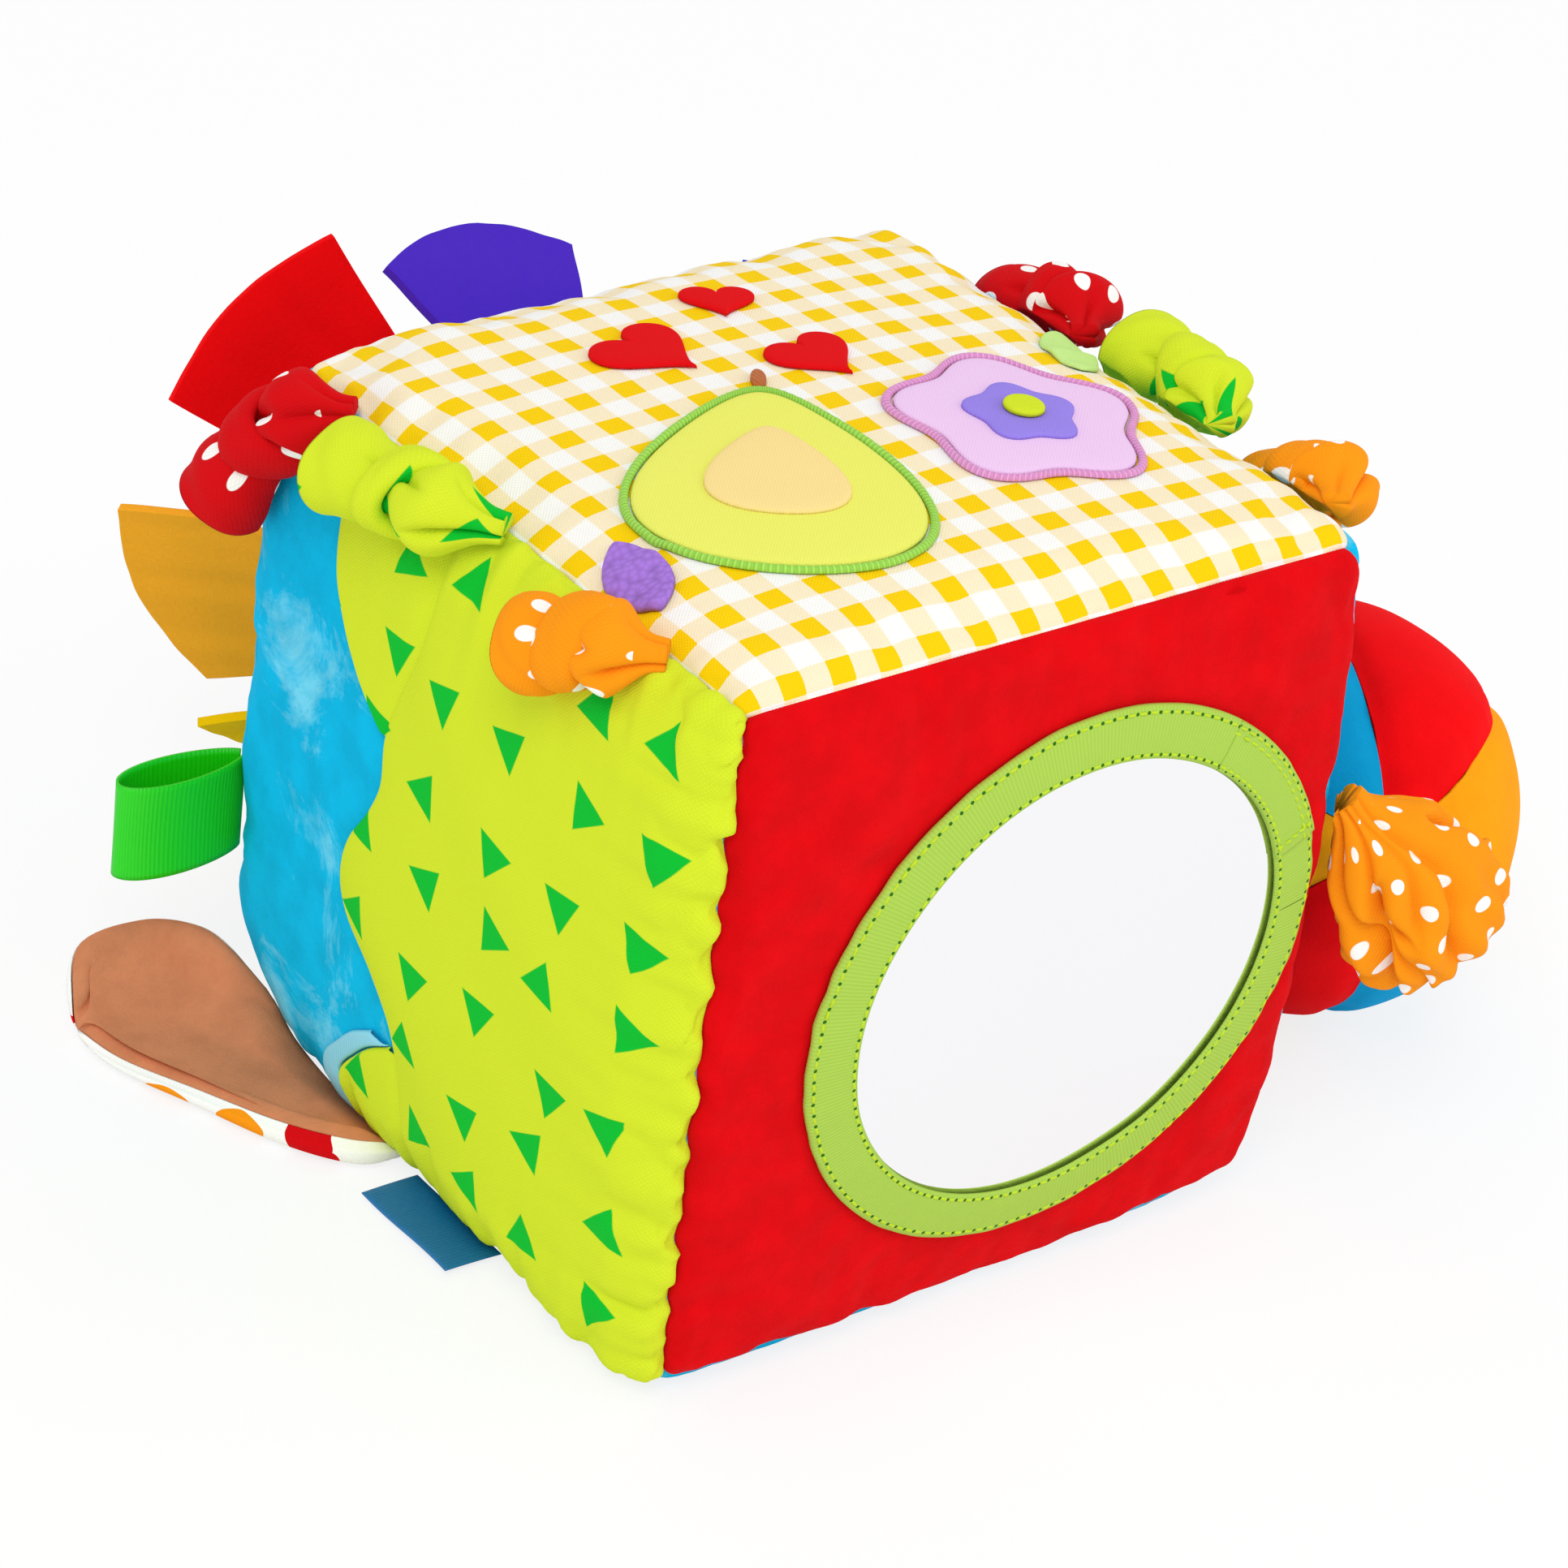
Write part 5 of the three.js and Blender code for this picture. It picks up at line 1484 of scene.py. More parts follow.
def make_ball():
    """Six velour wedges over the filling, drawn in at their seams."""
    s = sizes()
    middle, pole, side, across = ball_frame()
    wedge = math.tau / len(WEDGES)
    velours = {
        colour: velour(colour + " velour", paint("ball_" + colour)) for colour in ("red", "orange", "blue")
    }
    for k, node in enumerate(WEDGES):

        def polar(u, v, k=k):
            latitude = mix(POLE_ANGLE, math.pi - POLE_ANGLE, u)
            wide = np.sin(latitude)
            trim = np.minimum(BALL_SEAM_TRIM / s.ball_radius / wide, wedge * SEAM_TRIM_SHARE)
            longitude = mix(k * wedge + trim, (k + 1) * wedge - trim, crowded_share(v))
            return latitude, longitude, wide

        def place(u, v, k=k):
            latitude, longitude, wide = polar(u, v)
            turn = longitude - k * wedge
            down = latitude * s.ball_radius
            gap = np.minimum(turn, wedge - turn) * s.ball_radius * wide
            dip = BALL_SEAM_DIP * bell(gap, BALL_SEAM_REACH) * np.sqrt(wide)
            fine = np.exp(-gap / BALL_PUCKER_REACH) * (1 - np.exp(-gap / BALL_PUCKER_RISE))
            seam = (k + (turn > wedge / 2)) % len(WEDGES)
            pucker = BALL_PUCKER_LIFT * ripple(down, BALL_PUCKER_PERIOD, seam) * fine
            slack = BALL_SLACK * ripple(down + BALL_SLACK_SLANT * longitude, BALL_SLACK_PERIOD, k)
            out = (
                np.outer(np.cos(latitude), pole)
                + np.outer(wide * np.cos(longitude), side)
                + np.outer(wide * np.sin(longitude), across)
            )
            return middle + out * (s.ball_radius - dip + pucker + slack)[:, None]

        def cloth(u, v):
            latitude, longitude, wide = polar(u, v)
            return longitude * wide * s.ball_radius, latitude * s.ball_radius

        piece = grid_piece(node + "_cloth", 90, 44, place, cloth)
        face_out(piece)
        outward = points_of(piece) - middle
        normals = np.zeros(len(piece.data.vertices) * 3)
        piece.data.vertices.foreach_get("normal", normals)
        if (normals.reshape(-1, 3) * outward).sum() < 0:
            edit(piece, bpy.ops.mesh.flip_normals)
        thicken(piece, BALL_WALL)
        colour = node.split("_")[1]
        dress(piece, velours[colour], "ball_%s_velour" % colour, node)
    make_ball_tape()


def make_ball_tape():
    """The short sewn neck that ties the ball to the cube."""
    low, high = (np.array(corner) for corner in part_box("ball_tape"))
    tape = start_piece("ball_tape_strip", bpy.ops.mesh.primitive_cube_add, size=1)
    put_points(tape, points_of(tape) * (high - low) + (low + high) / 2)
    modify(tape, "BEVEL", width=TAPE_ROUND, segments=2)
    points = points_of(tape)
    map_cloth(tape, points[:, 0], points[:, 2])
    dress(tape, satin("blue ball tape", paint("ball_blue")), "blue_plush", "ball_tape")


# The petals

PETAL_CURL = 3 * MM
PETAL_ROOT_LIFT = 3.4 * MM
PETAL_EDGE_ROUND = 0.6 * MM
PETAL_WRINKLE = 0.5 * MM
PETAL_WRINKLE_PERIOD = 13 * MM
# Share of the wrinkles that reaches a petal's very edge
EDGE_WRINKLE_SHARE = 0.4
PETAL_WAVE = 0.8 * MM
PETAL_WAVE_PERIOD = 41 * MM
HUB_THICK = 5 * MM
HUB_FIRMNESS = 2.5


def make_petals():
    """Seven padded petals round their plush hub."""
    s = sizes()
    hub_outline = circle(s.hub_radius)
    hub = flat_pad(
        "petal_hub_plush", "back", (0, 0), hub_outline, 30, 96, s.seat_gap, HUB_THICK, HUB_FIRMNESS
    )
    map_flat(hub, "back")
    dress(hub, long_plush("yellow plush", paint("hub")), "yellow_plush", "petal_hub")
    for seed, (colour, petal) in enumerate(PETALS.items()):
        turn, tilt = math.radians(petal["turn"]), math.radians(petal["tilt"])
        up = np.array([-math.sin(turn), 0, math.cos(turn)])
        across = np.array([-math.cos(turn), 0, -math.sin(turn)])
        root_reach = s.hub_radius + s.seat_gap + s.petal_thick / 2
        root = skin("back", -up[0] * root_reach, up[2] * root_reach, PETAL_ROOT_LIFT)
        along = up * math.cos(tilt) + np.array([0, math.sin(tilt), 0])
        over = unit(np.cross(along, across))
        cut = np.array(petal.get("cut", PETAL_CUT)) * (math.pi / 180, MM)
        first, last = np.radians(petal.get("root", PETAL_ROOT))

        def place(u, v):
            side = crowded(2 * v - 1)
            reach_share = crowded_share(u)
            start, end = mix(first, cut[0, 0], reach_share), mix(last, cut[-1, 0], reach_share)
            angle = mix(start, end, (side + 1) / 2)
            far = curve_at(cut, angle)
            reach = mix(root_reach, far * np.cos(angle), reach_share)
            wide = mix(root_reach, far, reach_share)
            curl = PETAL_CURL * (1 - np.cos(math.pi * reach_share)) / 2
            edge = np.minimum(np.minimum(1 - np.abs(side), (1 - reach_share) * 3), 1)
            wrinkle = PETAL_WRINKLE * ripple(angle * wide, PETAL_WRINKLE_PERIOD, seed)
            wrinkle = wrinkle * ease(reach_share * 3) * mix(EDGE_WRINKLE_SHARE, 1, edge)
            wave = PETAL_WAVE * ripple(reach, PETAL_WAVE_PERIOD, seed + 2) * ease(reach_share * 2)
            return (
                root
                + np.outer(reach - root_reach, along)
                + np.outer(wide * np.sin(angle), across)
                + np.outer(wrinkle + wave - curl, over)
            )

        def cloth(u, v):
            angle = mix(cut[0, 0], cut[-1, 0], crowded_share(v))
            reach = mix(root_reach, s.petal_reach, crowded_share(u))
            return angle * reach, reach

        piece = grid_piece(colour + "_petal_cloth", 40, 34, place, cloth)
        thicken(piece, s.petal_thick, offset=0)
        modify(piece, "BEVEL", width=PETAL_EDGE_ROUND, segments=3, limit_method="ANGLE")
        look = felt(colour + " petal felt", fixed(petal["colour"]))
        dress(piece, look, colour + "_felt_petal", colour + "_petal")


# The ribbon loop, the ear and the label

RIBBON_THICK = 0.6 * MM
RIBBON_OPEN = 11 * MM
RIBBON_SLIM_SHARE = 0.55
RIBBON_END_SHARE = 0.035
RIBBON_SAG = 0.5 * MM
# The ribbon's length over the loop's reach
RIBBON_LENGTH_SHARE = 2.2


def make_ribbon():
    """A loop of satin ribbon sewn into the seam."""
    s = sizes()
    root = np.array(JOINTS["ribbon_loop_swing"]["pos_m"])

    def line(share):
        a = math.tau * (mix(RIBBON_END_SHARE, 1 - RIBBON_END_SHARE, share) - 0.5)
        belly = mix(RIBBON_SLIM_SHARE, 1, np.cos(a / 2))
        return -s.ribbon_reach / 2 * (1 + np.cos(a)), RIBBON_OPEN / 2 * np.sin(a) * belly

    def place(u, v):
        x, y = line(u)
        rise = (v - 0.5) * s.ribbon_width
        sag = RIBBON_SAG * np.sin(math.pi * v) * np.sin(math.tau * u)
        return root + np.stack([x, y + sag, rise], 1)

    length = RIBBON_LENGTH_SHARE * s.ribbon_reach
    piece = grid_piece("ribbon_loop_satin", 80, 16, place, lambda u, v: (u * length, v * s.ribbon_width))
    thicken(piece, RIBBON_THICK, offset=0)
    dress(piece, satin("green satin ribbon", paint("ribbon")), "green_ribbon", "ribbon_loop")


EAR_TIP_SHARE = 0.97
EAR_ROOT_HEIGHT = 1.85 * MM
EAR_ROOT_REACH = 9 * MM
EAR_BEND_REACH = 20 * MM
EAR_LINING_THICK = 1.2 * MM
EAR_ROOT_THICK = 0.8 * MM
# How much thicker the plush is where it rolls over the near edge
EAR_LIP_SHARE = 0.45
EAR_LIP_REACH_SHARES = {"lean": 0.12, "roll": 0.16}
EAR_LAYER_GAP = 0.15 * MM
EAR_ROOT_SHIFT_SHARE = 0.35
EAR_CLOTH = (45 * MM, 85 * MM)
EAR_SPOT_RADIUS = 4.4 * MM
EAR_SPOT_STEP = 26 * MM


def ear_point(along, across):
    """A point of the seam between the ear's two layers."""
    s = sizes()
    near_edge, far_edge = (
        spine_at([[x * s.cube_side, y * s.cube_side, 0] for x, y in rows], along)
        for rows in (EAR_NEAR_SHARES, EAR_FAR_SHARES)
    )
    section, lifts = np.array(EAR_SECTION), np.array(EAR_LIFTS)
    place, near, far = (curve_at(section[:, [0, k]], across) for k in (1, 2, 3))
    near_lift, hollow_lift, far_lift = (curve_at(lifts[:, [0, k]], along) * MM for k in (1, 2, 3))
    points = mix(near_edge, far_edge, place[:, None])
    points[:, 2] = EAR_ROOT_HEIGHT + near * near_lift + far * far_lift + (1 - near - far) * hollow_lift
    return points


def make_ear():
    """A cupped plush ear with a spotted lining, sewn by its root to the foot of the left panel."""
    s = sizes()

    def layer(name, thick, side):
        """A pad on one side of the ear's seam, round at its rim."""
        cloth = {}

        def place(share, angle):
            x, y, reach = square_of(share, angle)
            u, v = 0.5 + 0.5 * x, (0.5 + 0.5 * y) * EAR_TIP_SHARE
            cloth["across"], cloth["along"] = u * EAR_CLOTH[0], v * EAR_CLOTH[1]
            points = ear_point(v, u)
            (right, left), (after, before) = shares_beside(u), shares_beside(v)
            across = ear_point(v, right) - ear_point(v, left)
            ahead = ear_point(after, u) - ear_point(before, u)
            lip = np.array([0, 0, 1]) * (1 - ease(u / EAR_LIP_REACH_SHARES["lean"]))[:, None]
            way = unit(unit(np.cross(across, ahead)) + lip)
            past = (-s.cube_side / 2 - points[:, 0]) / EAR_ROOT_REACH + EAR_ROOT_SHIFT_SHARE
            rim = (1 - reach**9) ** (1 / 2.4)
            roll = 1 + EAR_LIP_SHARE * (1 - ease(u / EAR_LIP_REACH_SHARES["roll"]))
            here = (share < 0.5) == (side > 0)
            deep = np.where(here, rim * roll * mix(EAR_ROOT_THICK, thick, ease(past)), 0)
            return points + way * (side * (deep + EAR_LAYER_GAP))[:, None]

        piece = round_piece(name, 90, 160, place, (1, 1))
        map_cloth(piece, cloth["across"], cloth["along"])
        return piece

    seam = np.array(JOINTS["ear_flap"]["pos_m"])
    bend = ("cube", "ear", tuple(seam), tuple(seam - np.array([EAR_BEND_REACH, 0, 0])))
    plush = layer("ear_plush_cloth", s.ear_plush_thick, 1)
    dress(plush, long_plush("brown plush", paint("brown")), "brown_plush", "ear_plush", bend=bend)
    lining = layer("ear_lining_cloth", EAR_LINING_THICK, -1)
    dress(lining, spotted_lining(), "dotted_lining", "ear_lining", bend=bend)


LABEL_THICK = 1 * MM
LABEL_DROOP = 0.4 * MM
LABEL_CURL = 0.2 * MM


def make_label():
    """The bare folded side label."""
    low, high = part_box("side_label")
    middle, size = (low + high) / 2, high - low

    def place(share, angle):
        x, y, reach = square_of(share, angle)
        over = np.where(share < 0.5, 1, -1) * (1 - reach**12) ** 0.5 * LABEL_THICK / 2
        droop = LABEL_DROOP * (1 + x) ** 2 / 4 + LABEL_CURL * np.sin(2.5 * y) * (1 - x)
        across, along = middle.x + x * size.x / 2, middle.y + y * size.y / 2
        return np.stack([across, along, middle.z + over - droop], 1)

    piece = round_piece("side_label_satin", 40, 80, place, (1, 1))
    points = points_of(piece)
    map_cloth(piece, points[:, 1], points[:, 0])
    dress(piece, satin("bare blue label satin", paint("label")), "blue_label_satin", "side_label")


# Finishes

# Noise of each finish: scale over a metre, detail, roughness and warp
NOISES = {
    "gingham_wander": (40, 1, 0.5, 0),
    "tufts": (1500, 3, 0.7, 0),
    "clumps": (260, 3, 0.6, 0),
    "plush_lean": (90, 4, 0.65, 0),
    "blue_plush_lean": (120, 4, 0.5, 0),
    "velour_lean": (60, 5, 0.7, 0),
    # Where the painted sheen of pressed pile lies on the blue plush
    "pressed_sheen_patches": (34, 7, 0.72, 0.6),
    "felt_fibres": (900, 5, 0.75, 1.2),
    "tape_mottle": (620, 3, 0.5, 0),
    "thread_twist": (1400, 2, 0.5, 0),
    "mirror_haze": (25, 2, 0.5, 0),
    "plastic_grain": (1800, 2, 0.5, 0),
    "filling_strands": (300, 6, 0.5, 2.5),
}
# Cells of each finish: scale over a metre and how unevenly they lie
TERRY_LOOPS = (700, 1)
FOAM_CELLS = (700, 1)
DOT_UNEVEN_SHARE = 0.45
SPOT_UNEVEN_SHARE = 0.5
TRIANGLE_UNEVEN_SHARE = 0.3
# How each finish takes light: the shade painted into its colour where its height or another value is low,
# roughness, bump and the bump's depth, then what it adds
SURFACES = {
    "gingham": (0.1, 0.85, 0.35, 0.15 * MM, {"Sheen Weight": 0.15}),
    "plush": (0.14, 0.95, 0.7, 0.5 * MM, {"Sheen Weight": 0.2, "Sheen Roughness": 0.5}),
    "blue_plush": (0.14, 0.95, 0.8, 0.5 * MM, {"Sheen Weight": 0.3, "Sheen Roughness": 0.5}),
    "velour": (0.1, 0.9, 0.5, 0.35 * MM, {"Sheen Weight": 0.45, "Sheen Roughness": 0.4}),
    "felt": (0.12, 0.97, 0.6, 0.3 * MM, {"Sheen Weight": 0.25}),
    "terry": (0.35, 0.95, 0.9, 0.5 * MM, {"Sheen Weight": 0.3}),
    "plain_cotton": (0.08, 0.88, 0.3, 0.15 * MM, {"Sheen Weight": 0.1}),
    "dotted_cotton": (0.07, 0.85, 0.3, 0.12 * MM, {"Sheen Weight": 0.12}),
    "lime_cotton": (0.06, 0.85, 0.3, 0.12 * MM, {"Sheen Weight": 0.12}),
    "lining": (0, 0.9, 0.3, 0.12 * MM, {"Sheen Weight": 0.15}),
    "satin": (0.12, 0.42, 0.25, 0.1 * MM, {"Specular IOR Level": 0.4}),
    "satin_stitch": (0.22, 0.5, 0.6, 0.25 * MM, {"Specular IOR Level": 0.3}),
    "tape": (0, 0.8, 0.3, 0.1 * MM, {"Sheen Weight": 0.1}),
    "thread": (0.2, 0.5, 0.4, 0.1 * MM, {"Specular IOR Level": 0.3}),
    "mirror": (0, 0.05, 0.02, 0.2 * MM, {"Metallic": 1}),
    "foam": (0.25, 0.95, 0.6, 0.5 * MM, {}),
    "plastic": (0.05, 0.4, 0.15, 0.1 * MM, {"Specular IOR Level": 0.5}),
    "filling": (0.15, 1, 0.8, 0.6 * MM, {"Sheen Weight": 0.3}),
}
MATT_GLOSS = 0.12
# Where a noise turns from its darker to its lighter side
PLUSH_LEAN = (0.38, 0.62)
SHORT_PILE_LEAN = (0.35, 0.6)
PRESSED_SHEEN_EDGES = (0.53, 0.66)
# How much of the painted sheen colour a patch of pressed pile takes at most
PRESSED_SHEEN_SHARE = 0.75
CLUMP_SHARE = 0.45
GINGHAM_WANDER = 2.2 * MM
GINGHAM_BLUR = 0.12
HALF_TONE_SHARES = (0.22, 0.52)
DOT_EDGE_SHARES = (1.04, 0.96)
DOT_FREE_ROOT = 4.5 * MM
SPOT_SHARE = 0.2
PRINT_BLUR = 0.12 * MM
TAPE_SHADE = 0.08
MIRROR_ROUGHNESS = (0.03, 0.07)
MIRROR_COLOUR = "#F6F6F8"
FOAM_COLOUR = "#F2E6B8"
PLASTIC_COLOUR = "#E8E8EA"
FILLING_COLOUR = "#F6F4EE"


def add(tree, kind, inputs=None, **settings):
    """Adds one node. A value is a number, a colour, a node's first output, or a node and an output."""
    node = tree.nodes.new("ShaderNode" + kind)
    for key, value in settings.items():
        setattr(node, key, value)
    for key, value in (inputs or {}).items():
        if isinstance(value, tuple) and isinstance(value[0], bpy.types.Node):
            value = value[0].outputs[value[1]]
        elif isinstance(value, bpy.types.Node):
            value = value.outputs[0]
        if isinstance(value, NodeSocket):
            tree.links.new(value, node.inputs[key])
        else:
            node.inputs[key].default_value = value
    return node


def calc(tree, operation, *values):
    """One step of arithmetic on numbers."""
    return add(tree, "Math", dict(enumerate(values)), operation=operation)


def steer(tree, operation, *values):
    """One step of arithmetic on vectors."""
    return add(tree, "VectorMath", dict(enumerate(values)), operation=operation)


def ramp(tree, value, low, high, to_low=0, to_high=1):
    """Turns one range of a value into another and holds it there."""
    ends = {"From Min": low, "From Max": high, "To Min": to_low, "To Max": to_high}
    return add(tree, "MapRange", {"Value": value, **ends})


def dye(tree, share, first, second):
    """Goes from one colour to another by a share."""
    return add(tree, "Mix", {"Factor": share, "A": first, "B": second}, data_type="RGBA"), "Result"


def noise(tree, kind, place):
    values = dict(zip(("Scale", "Detail", "Roughness", "Distortion"), NOISES[kind]))
    return add(tree, "TexNoise", {"Vector": place, **values})


def cells(tree, place, scale, uneven, dimensions="2D"):
    inputs = {"Vector": place, "Scale": scale, "Randomness": uneven}
    return add(tree, "TexVoronoi", inputs, voronoi_dimensions=dimensions)


def paint(name):
    """A colour that the user has set."""
    return (*getattr(colours(), name), 1)


def fixed(hex_colour):
    return (*linear(hex_colour), 1)


def blank(name):
    """A new material with an empty tree."""
    material = bpy.data.materials.new(name.replace(" ", "_"))
    material.use_nodes = True
    material.node_tree.nodes.clear()
    return material, material.node_tree


def shade_of(tree, colour, amount, where):
    """Painted shade: a colour that turns darker by an amount where a value is low."""
    darker = add(tree, "HueSaturation", {"Value": 1 - amount, "Color": colour})
    return dye(tree, where, darker, colour)


def finish(material, kind, colour, height, where=None, **more):
    """Joins a material's surface: its colour, with shade painted where its height or another value is low, and its
    bump.
    """
    tree = material.node_tree
    shade, roughness, strength, depth, light = SURFACES[kind]
    if shade:
        colour = shade_of(tree, colour, shade, height if where is None else where)
    inputs = {"Base Color": colour, "Roughness": roughness, "Specular IOR Level": MATT_GLOSS}
    if "Sheen Weight" in light:
        inputs["Sheen Tint"] = colour
    bump = add(tree, "Bump", {"Height": height, "Strength": strength, "Distance": depth})
    surface = add(tree, "BsdfPrincipled", {**inputs, **light, **more, "Normal": bump})
    add(tree, "OutputMaterial", {"Surface": surface})
    return material


def flat_cloth(tree):
    """Cloth coordinates in metres."""
    return add(tree, "UVMap", uv_map="cloth")


def on_piece(tree):
    """Coordinates of the piece itself, in metres."""
    return add(tree, "TexCoord"), "Object"


def parts_of(tree, place):
    apart = add(tree, "SeparateXYZ", {0: place})
    return (apart, "X"), (apart, "Y")


def wave_of(tree, value, period):
    """A sine wave along a value."""
    return calc(tree, "SINE", calc(tree, "MULTIPLY", value, math.tau / period))


def threads(tree, cloth):
    """Height of a plain weave, from the cloth's own coordinates."""
    waves = [wave_of(tree, part, sizes().thread_pitch) for part in parts_of(tree, cloth)]
    return calc(tree, "MULTIPLY", *waves)


def gingham_cotton():
    """Woven cotton: yellow and white warp crosses yellow and white weft, so mixed checks look half-tone."""
    material, tree = blank("gingham cotton")
    cloth = flat_cloth(tree)
    wander = steer(tree, "SUBTRACT", (noise(tree, "gingham_wander", cloth), "Color"), (0.5, 0.5, 0.5))
    wander = add(tree, "VectorMath", {0: wander, "Scale": GINGHAM_WANDER}, operation="SCALE")
    stripes = [
        ramp(tree, wave_of(tree, part, sizes().gingham_period), -GINGHAM_BLUR, GINGHAM_BLUR)
        for part in parts_of(tree, steer(tree, "ADD", cloth, wander))
    ]
    full = calc(tree, "GREATER_THAN", calc(tree, "ADD", *stripes), 1.5)
    half_tone = calc(tree, "ABSOLUTE", calc(tree, "SUBTRACT", *stripes))
    weave = threads(tree, cloth)
    speck = ramp(tree, weave, -0.5, 0.5, *HALF_TONE_SHARES)
    yellow = calc(tree, "MAXIMUM", full, calc(tree, "MULTIPLY", half_tone, speck))
    colour = dye(tree, yellow, paint("white"), paint("gingham"))
    return finish(material, "gingham", colour, weave)


def pile(tree, place):
    """Height of short pile: fine tufts over broader clumps."""
    parts = {"Factor": CLUMP_SHARE, "A": noise(tree, "tufts", place), "B": noise(tree, "clumps", place)}
    return add(tree, "Mix", parts, data_type="FLOAT")


def piled(name, kind, colour, lean, edges):
    """Pile with shade painted where it leans away."""
    material, tree = blank(name)
    place = on_piece(tree)
    where = ramp(tree, noise(tree, lean, place), *edges)
    return finish(material, kind, colour, pile(tree, place), where)


def long_plush(name, colour):
    """Knitted polyester plush: soft shade painted where the pile leans, and a pale sheen at its edges."""
    return piled(name, "plush", colour, "plush_lean", PLUSH_LEAN)


def velour(name, colour):
    """Cut velour: short dense pile, smoother than plush, with broad soft shading."""
    return piled(name, "velour", colour, "velour_lean", SHORT_PILE_LEAN)


def blue_plush_with_painted_sheen():
    """Blue plush with pale patches where its pile is pressed; their paleness is painted sheen."""
    material, tree = blank("blue plush")
    place = on_piece(tree)
    # Painted sheen: pale patches mixed into the blue where the pile is pressed
    pressed_sheen_patches = ramp(tree, noise(tree, "pressed_sheen_patches", place), *PRESSED_SHEEN_EDGES, to_high=PRESSED_SHEEN_SHARE)
    colour = dye(tree, pressed_sheen_patches, paint("blue_plush"), paint("pressed_pile_sheen"))
    where = ramp(tree, noise(tree, "blue_plush_lean", place), *SHORT_PILE_LEAN)
    return finish(material, "blue_plush", colour, pile(tree, place), where)


def grained(name, kind, colour, grain):
    """A material with one even grain all through."""
    material, tree = blank(name)
    return finish(material, kind, colour, noise(tree, grain, on_piece(tree)))


def felt(name, colour):
    """Pressed felt: matt, with matted fibres and no weave."""
    return grained(name, "felt", colour, "felt_fibres")


def polyester_thread():
    """Twisted polyester thread: bright, slightly glossy stitches."""
    return grained("yellow green thread", "thread", paint("tape_thread"), "thread_twist")


def hidden_foam():
    """Polyurethane foam: open cells on a cream block."""
    material, tree = blank("polyurethane foam")
    bubbles = cells(tree, on_piece(tree), *FOAM_CELLS, dimensions="3D")
    return finish(material, "foam", fixed(FOAM_COLOUR), (bubbles, "Distance"))


def terry_cloth(name, colour):
    """Terry: little loops that stand up and catch the light."""
    material, tree = blank(name)
    loops = cells(tree, flat_cloth(tree), *TERRY_LOOPS)
    return finish(material, "terry", colour, calc(tree, "SUBTRACT", 1, (loops, "Distance")))


def plain_cotton(name, colour):
    """Plain-woven cotton: even threads and a dry, matt surface."""
    material, tree = blank(name)
    return finish(material, "plain_cotton", colour, threads(tree, flat_cloth(tree)))


def dotted_cotton(name, colour):
    """Printed cotton: round white dots on a bright ground, none of them by the gathered root."""
    s = sizes()
    material, tree = blank(name)
    cloth = flat_cloth(tree)
    middles = cells(tree, cloth, 1 / s.dot_step, DOT_UNEVEN_SHARE)
    edges = (s.dot_radius / s.dot_step * share for share in DOT_EDGE_SHARES)
    dot = ramp(tree, (middles, "Distance"), *edges)
    clear = calc(tree, "GREATER_THAN", parts_of(tree, cloth)[1], DOT_FREE_ROOT)
    mixed = dye(tree, calc(tree, "MULTIPLY", dot, clear), colour, paint("white"))
    return finish(material, "dotted_cotton", mixed, threads(tree, cloth))


def orange_dots():
    """The dotted orange cotton of two tails and the puff."""
    return dotted_cotton("orange dotted cotton", paint("orange_cotton"))


def spotted_lining():
    """White brushed cotton with scattered red and orange spots."""
    material, tree = blank("spotted lining cotton")
    cloth = flat_cloth(tree)
    middles = cells(tree, cloth, 1 / EAR_SPOT_STEP, SPOT_UNEVEN_SHARE)
    where = calc(tree, "LESS_THAN", (middles, "Distance"), SPOT_SHARE)
    kind = add(tree, "SeparateColor", {0: (middles, "Color")})
    which = calc(tree, "GREATER_THAN", (kind, 0), 0.5)
    spot = dye(tree, which, paint("red_cotton"), paint("orange_cotton"))
    mixed = dye(tree, where, paint("white"), spot)
    for colour, (across, along) in EAR_SPOTS.items():
        middle = (across * EAR_CLOTH[0], along * EAR_CLOTH[1], 0)
        away = steer(tree, "DISTANCE", cloth, middle)
        on_spot = calc(tree, "LESS_THAN", (away, "Value"), EAR_SPOT_RADIUS)
        mixed = dye(tree, on_spot, mixed, paint(colour))
    return finish(material, "lining", mixed, threads(tree, cloth))


def printed_lime():
    """Printed cotton: lime ground with scattered green triangles turned every way."""
    brought = bpy.data.materials.get("printed_lime_cotton")
    if brought:
        return brought
    s = sizes()
    third = math.tau / 3
    material, tree = blank("printed lime cotton")
    cloth = flat_cloth(tree)
    middles = cells(tree, cloth, 1 / s.triangle_step, TRIANGLE_UNEVEN_SHARE)
    away = steer(tree, "SUBTRACT", cloth, (middles, "Position"))
    across, along = parts_of(tree, away)
    spin = calc(tree, "MULTIPLY", (add(tree, "SeparateColor", {0: (middles, "Color")}), 0), math.tau)
    bearing = calc(tree, "ADD", calc(tree, "ARCTAN2", along, across), spin)
    bearing = calc(tree, "SUBTRACT", calc(tree, "FLOORED_MODULO", bearing, third), third / 2)
    far = (steer(tree, "LENGTH", away), "Value")
    out = calc(tree, "MULTIPLY", calc(tree, "COSINE", bearing), far)
    inner = s.triangle_side / (2 * math.sqrt(3))
    where = ramp(tree, out, inner + PRINT_BLUR, inner - PRINT_BLUR)
    mixed = dye(tree, where, paint("lime"), paint("print_green"))
    return finish(material, "lime_cotton", mixed, threads(tree, cloth))


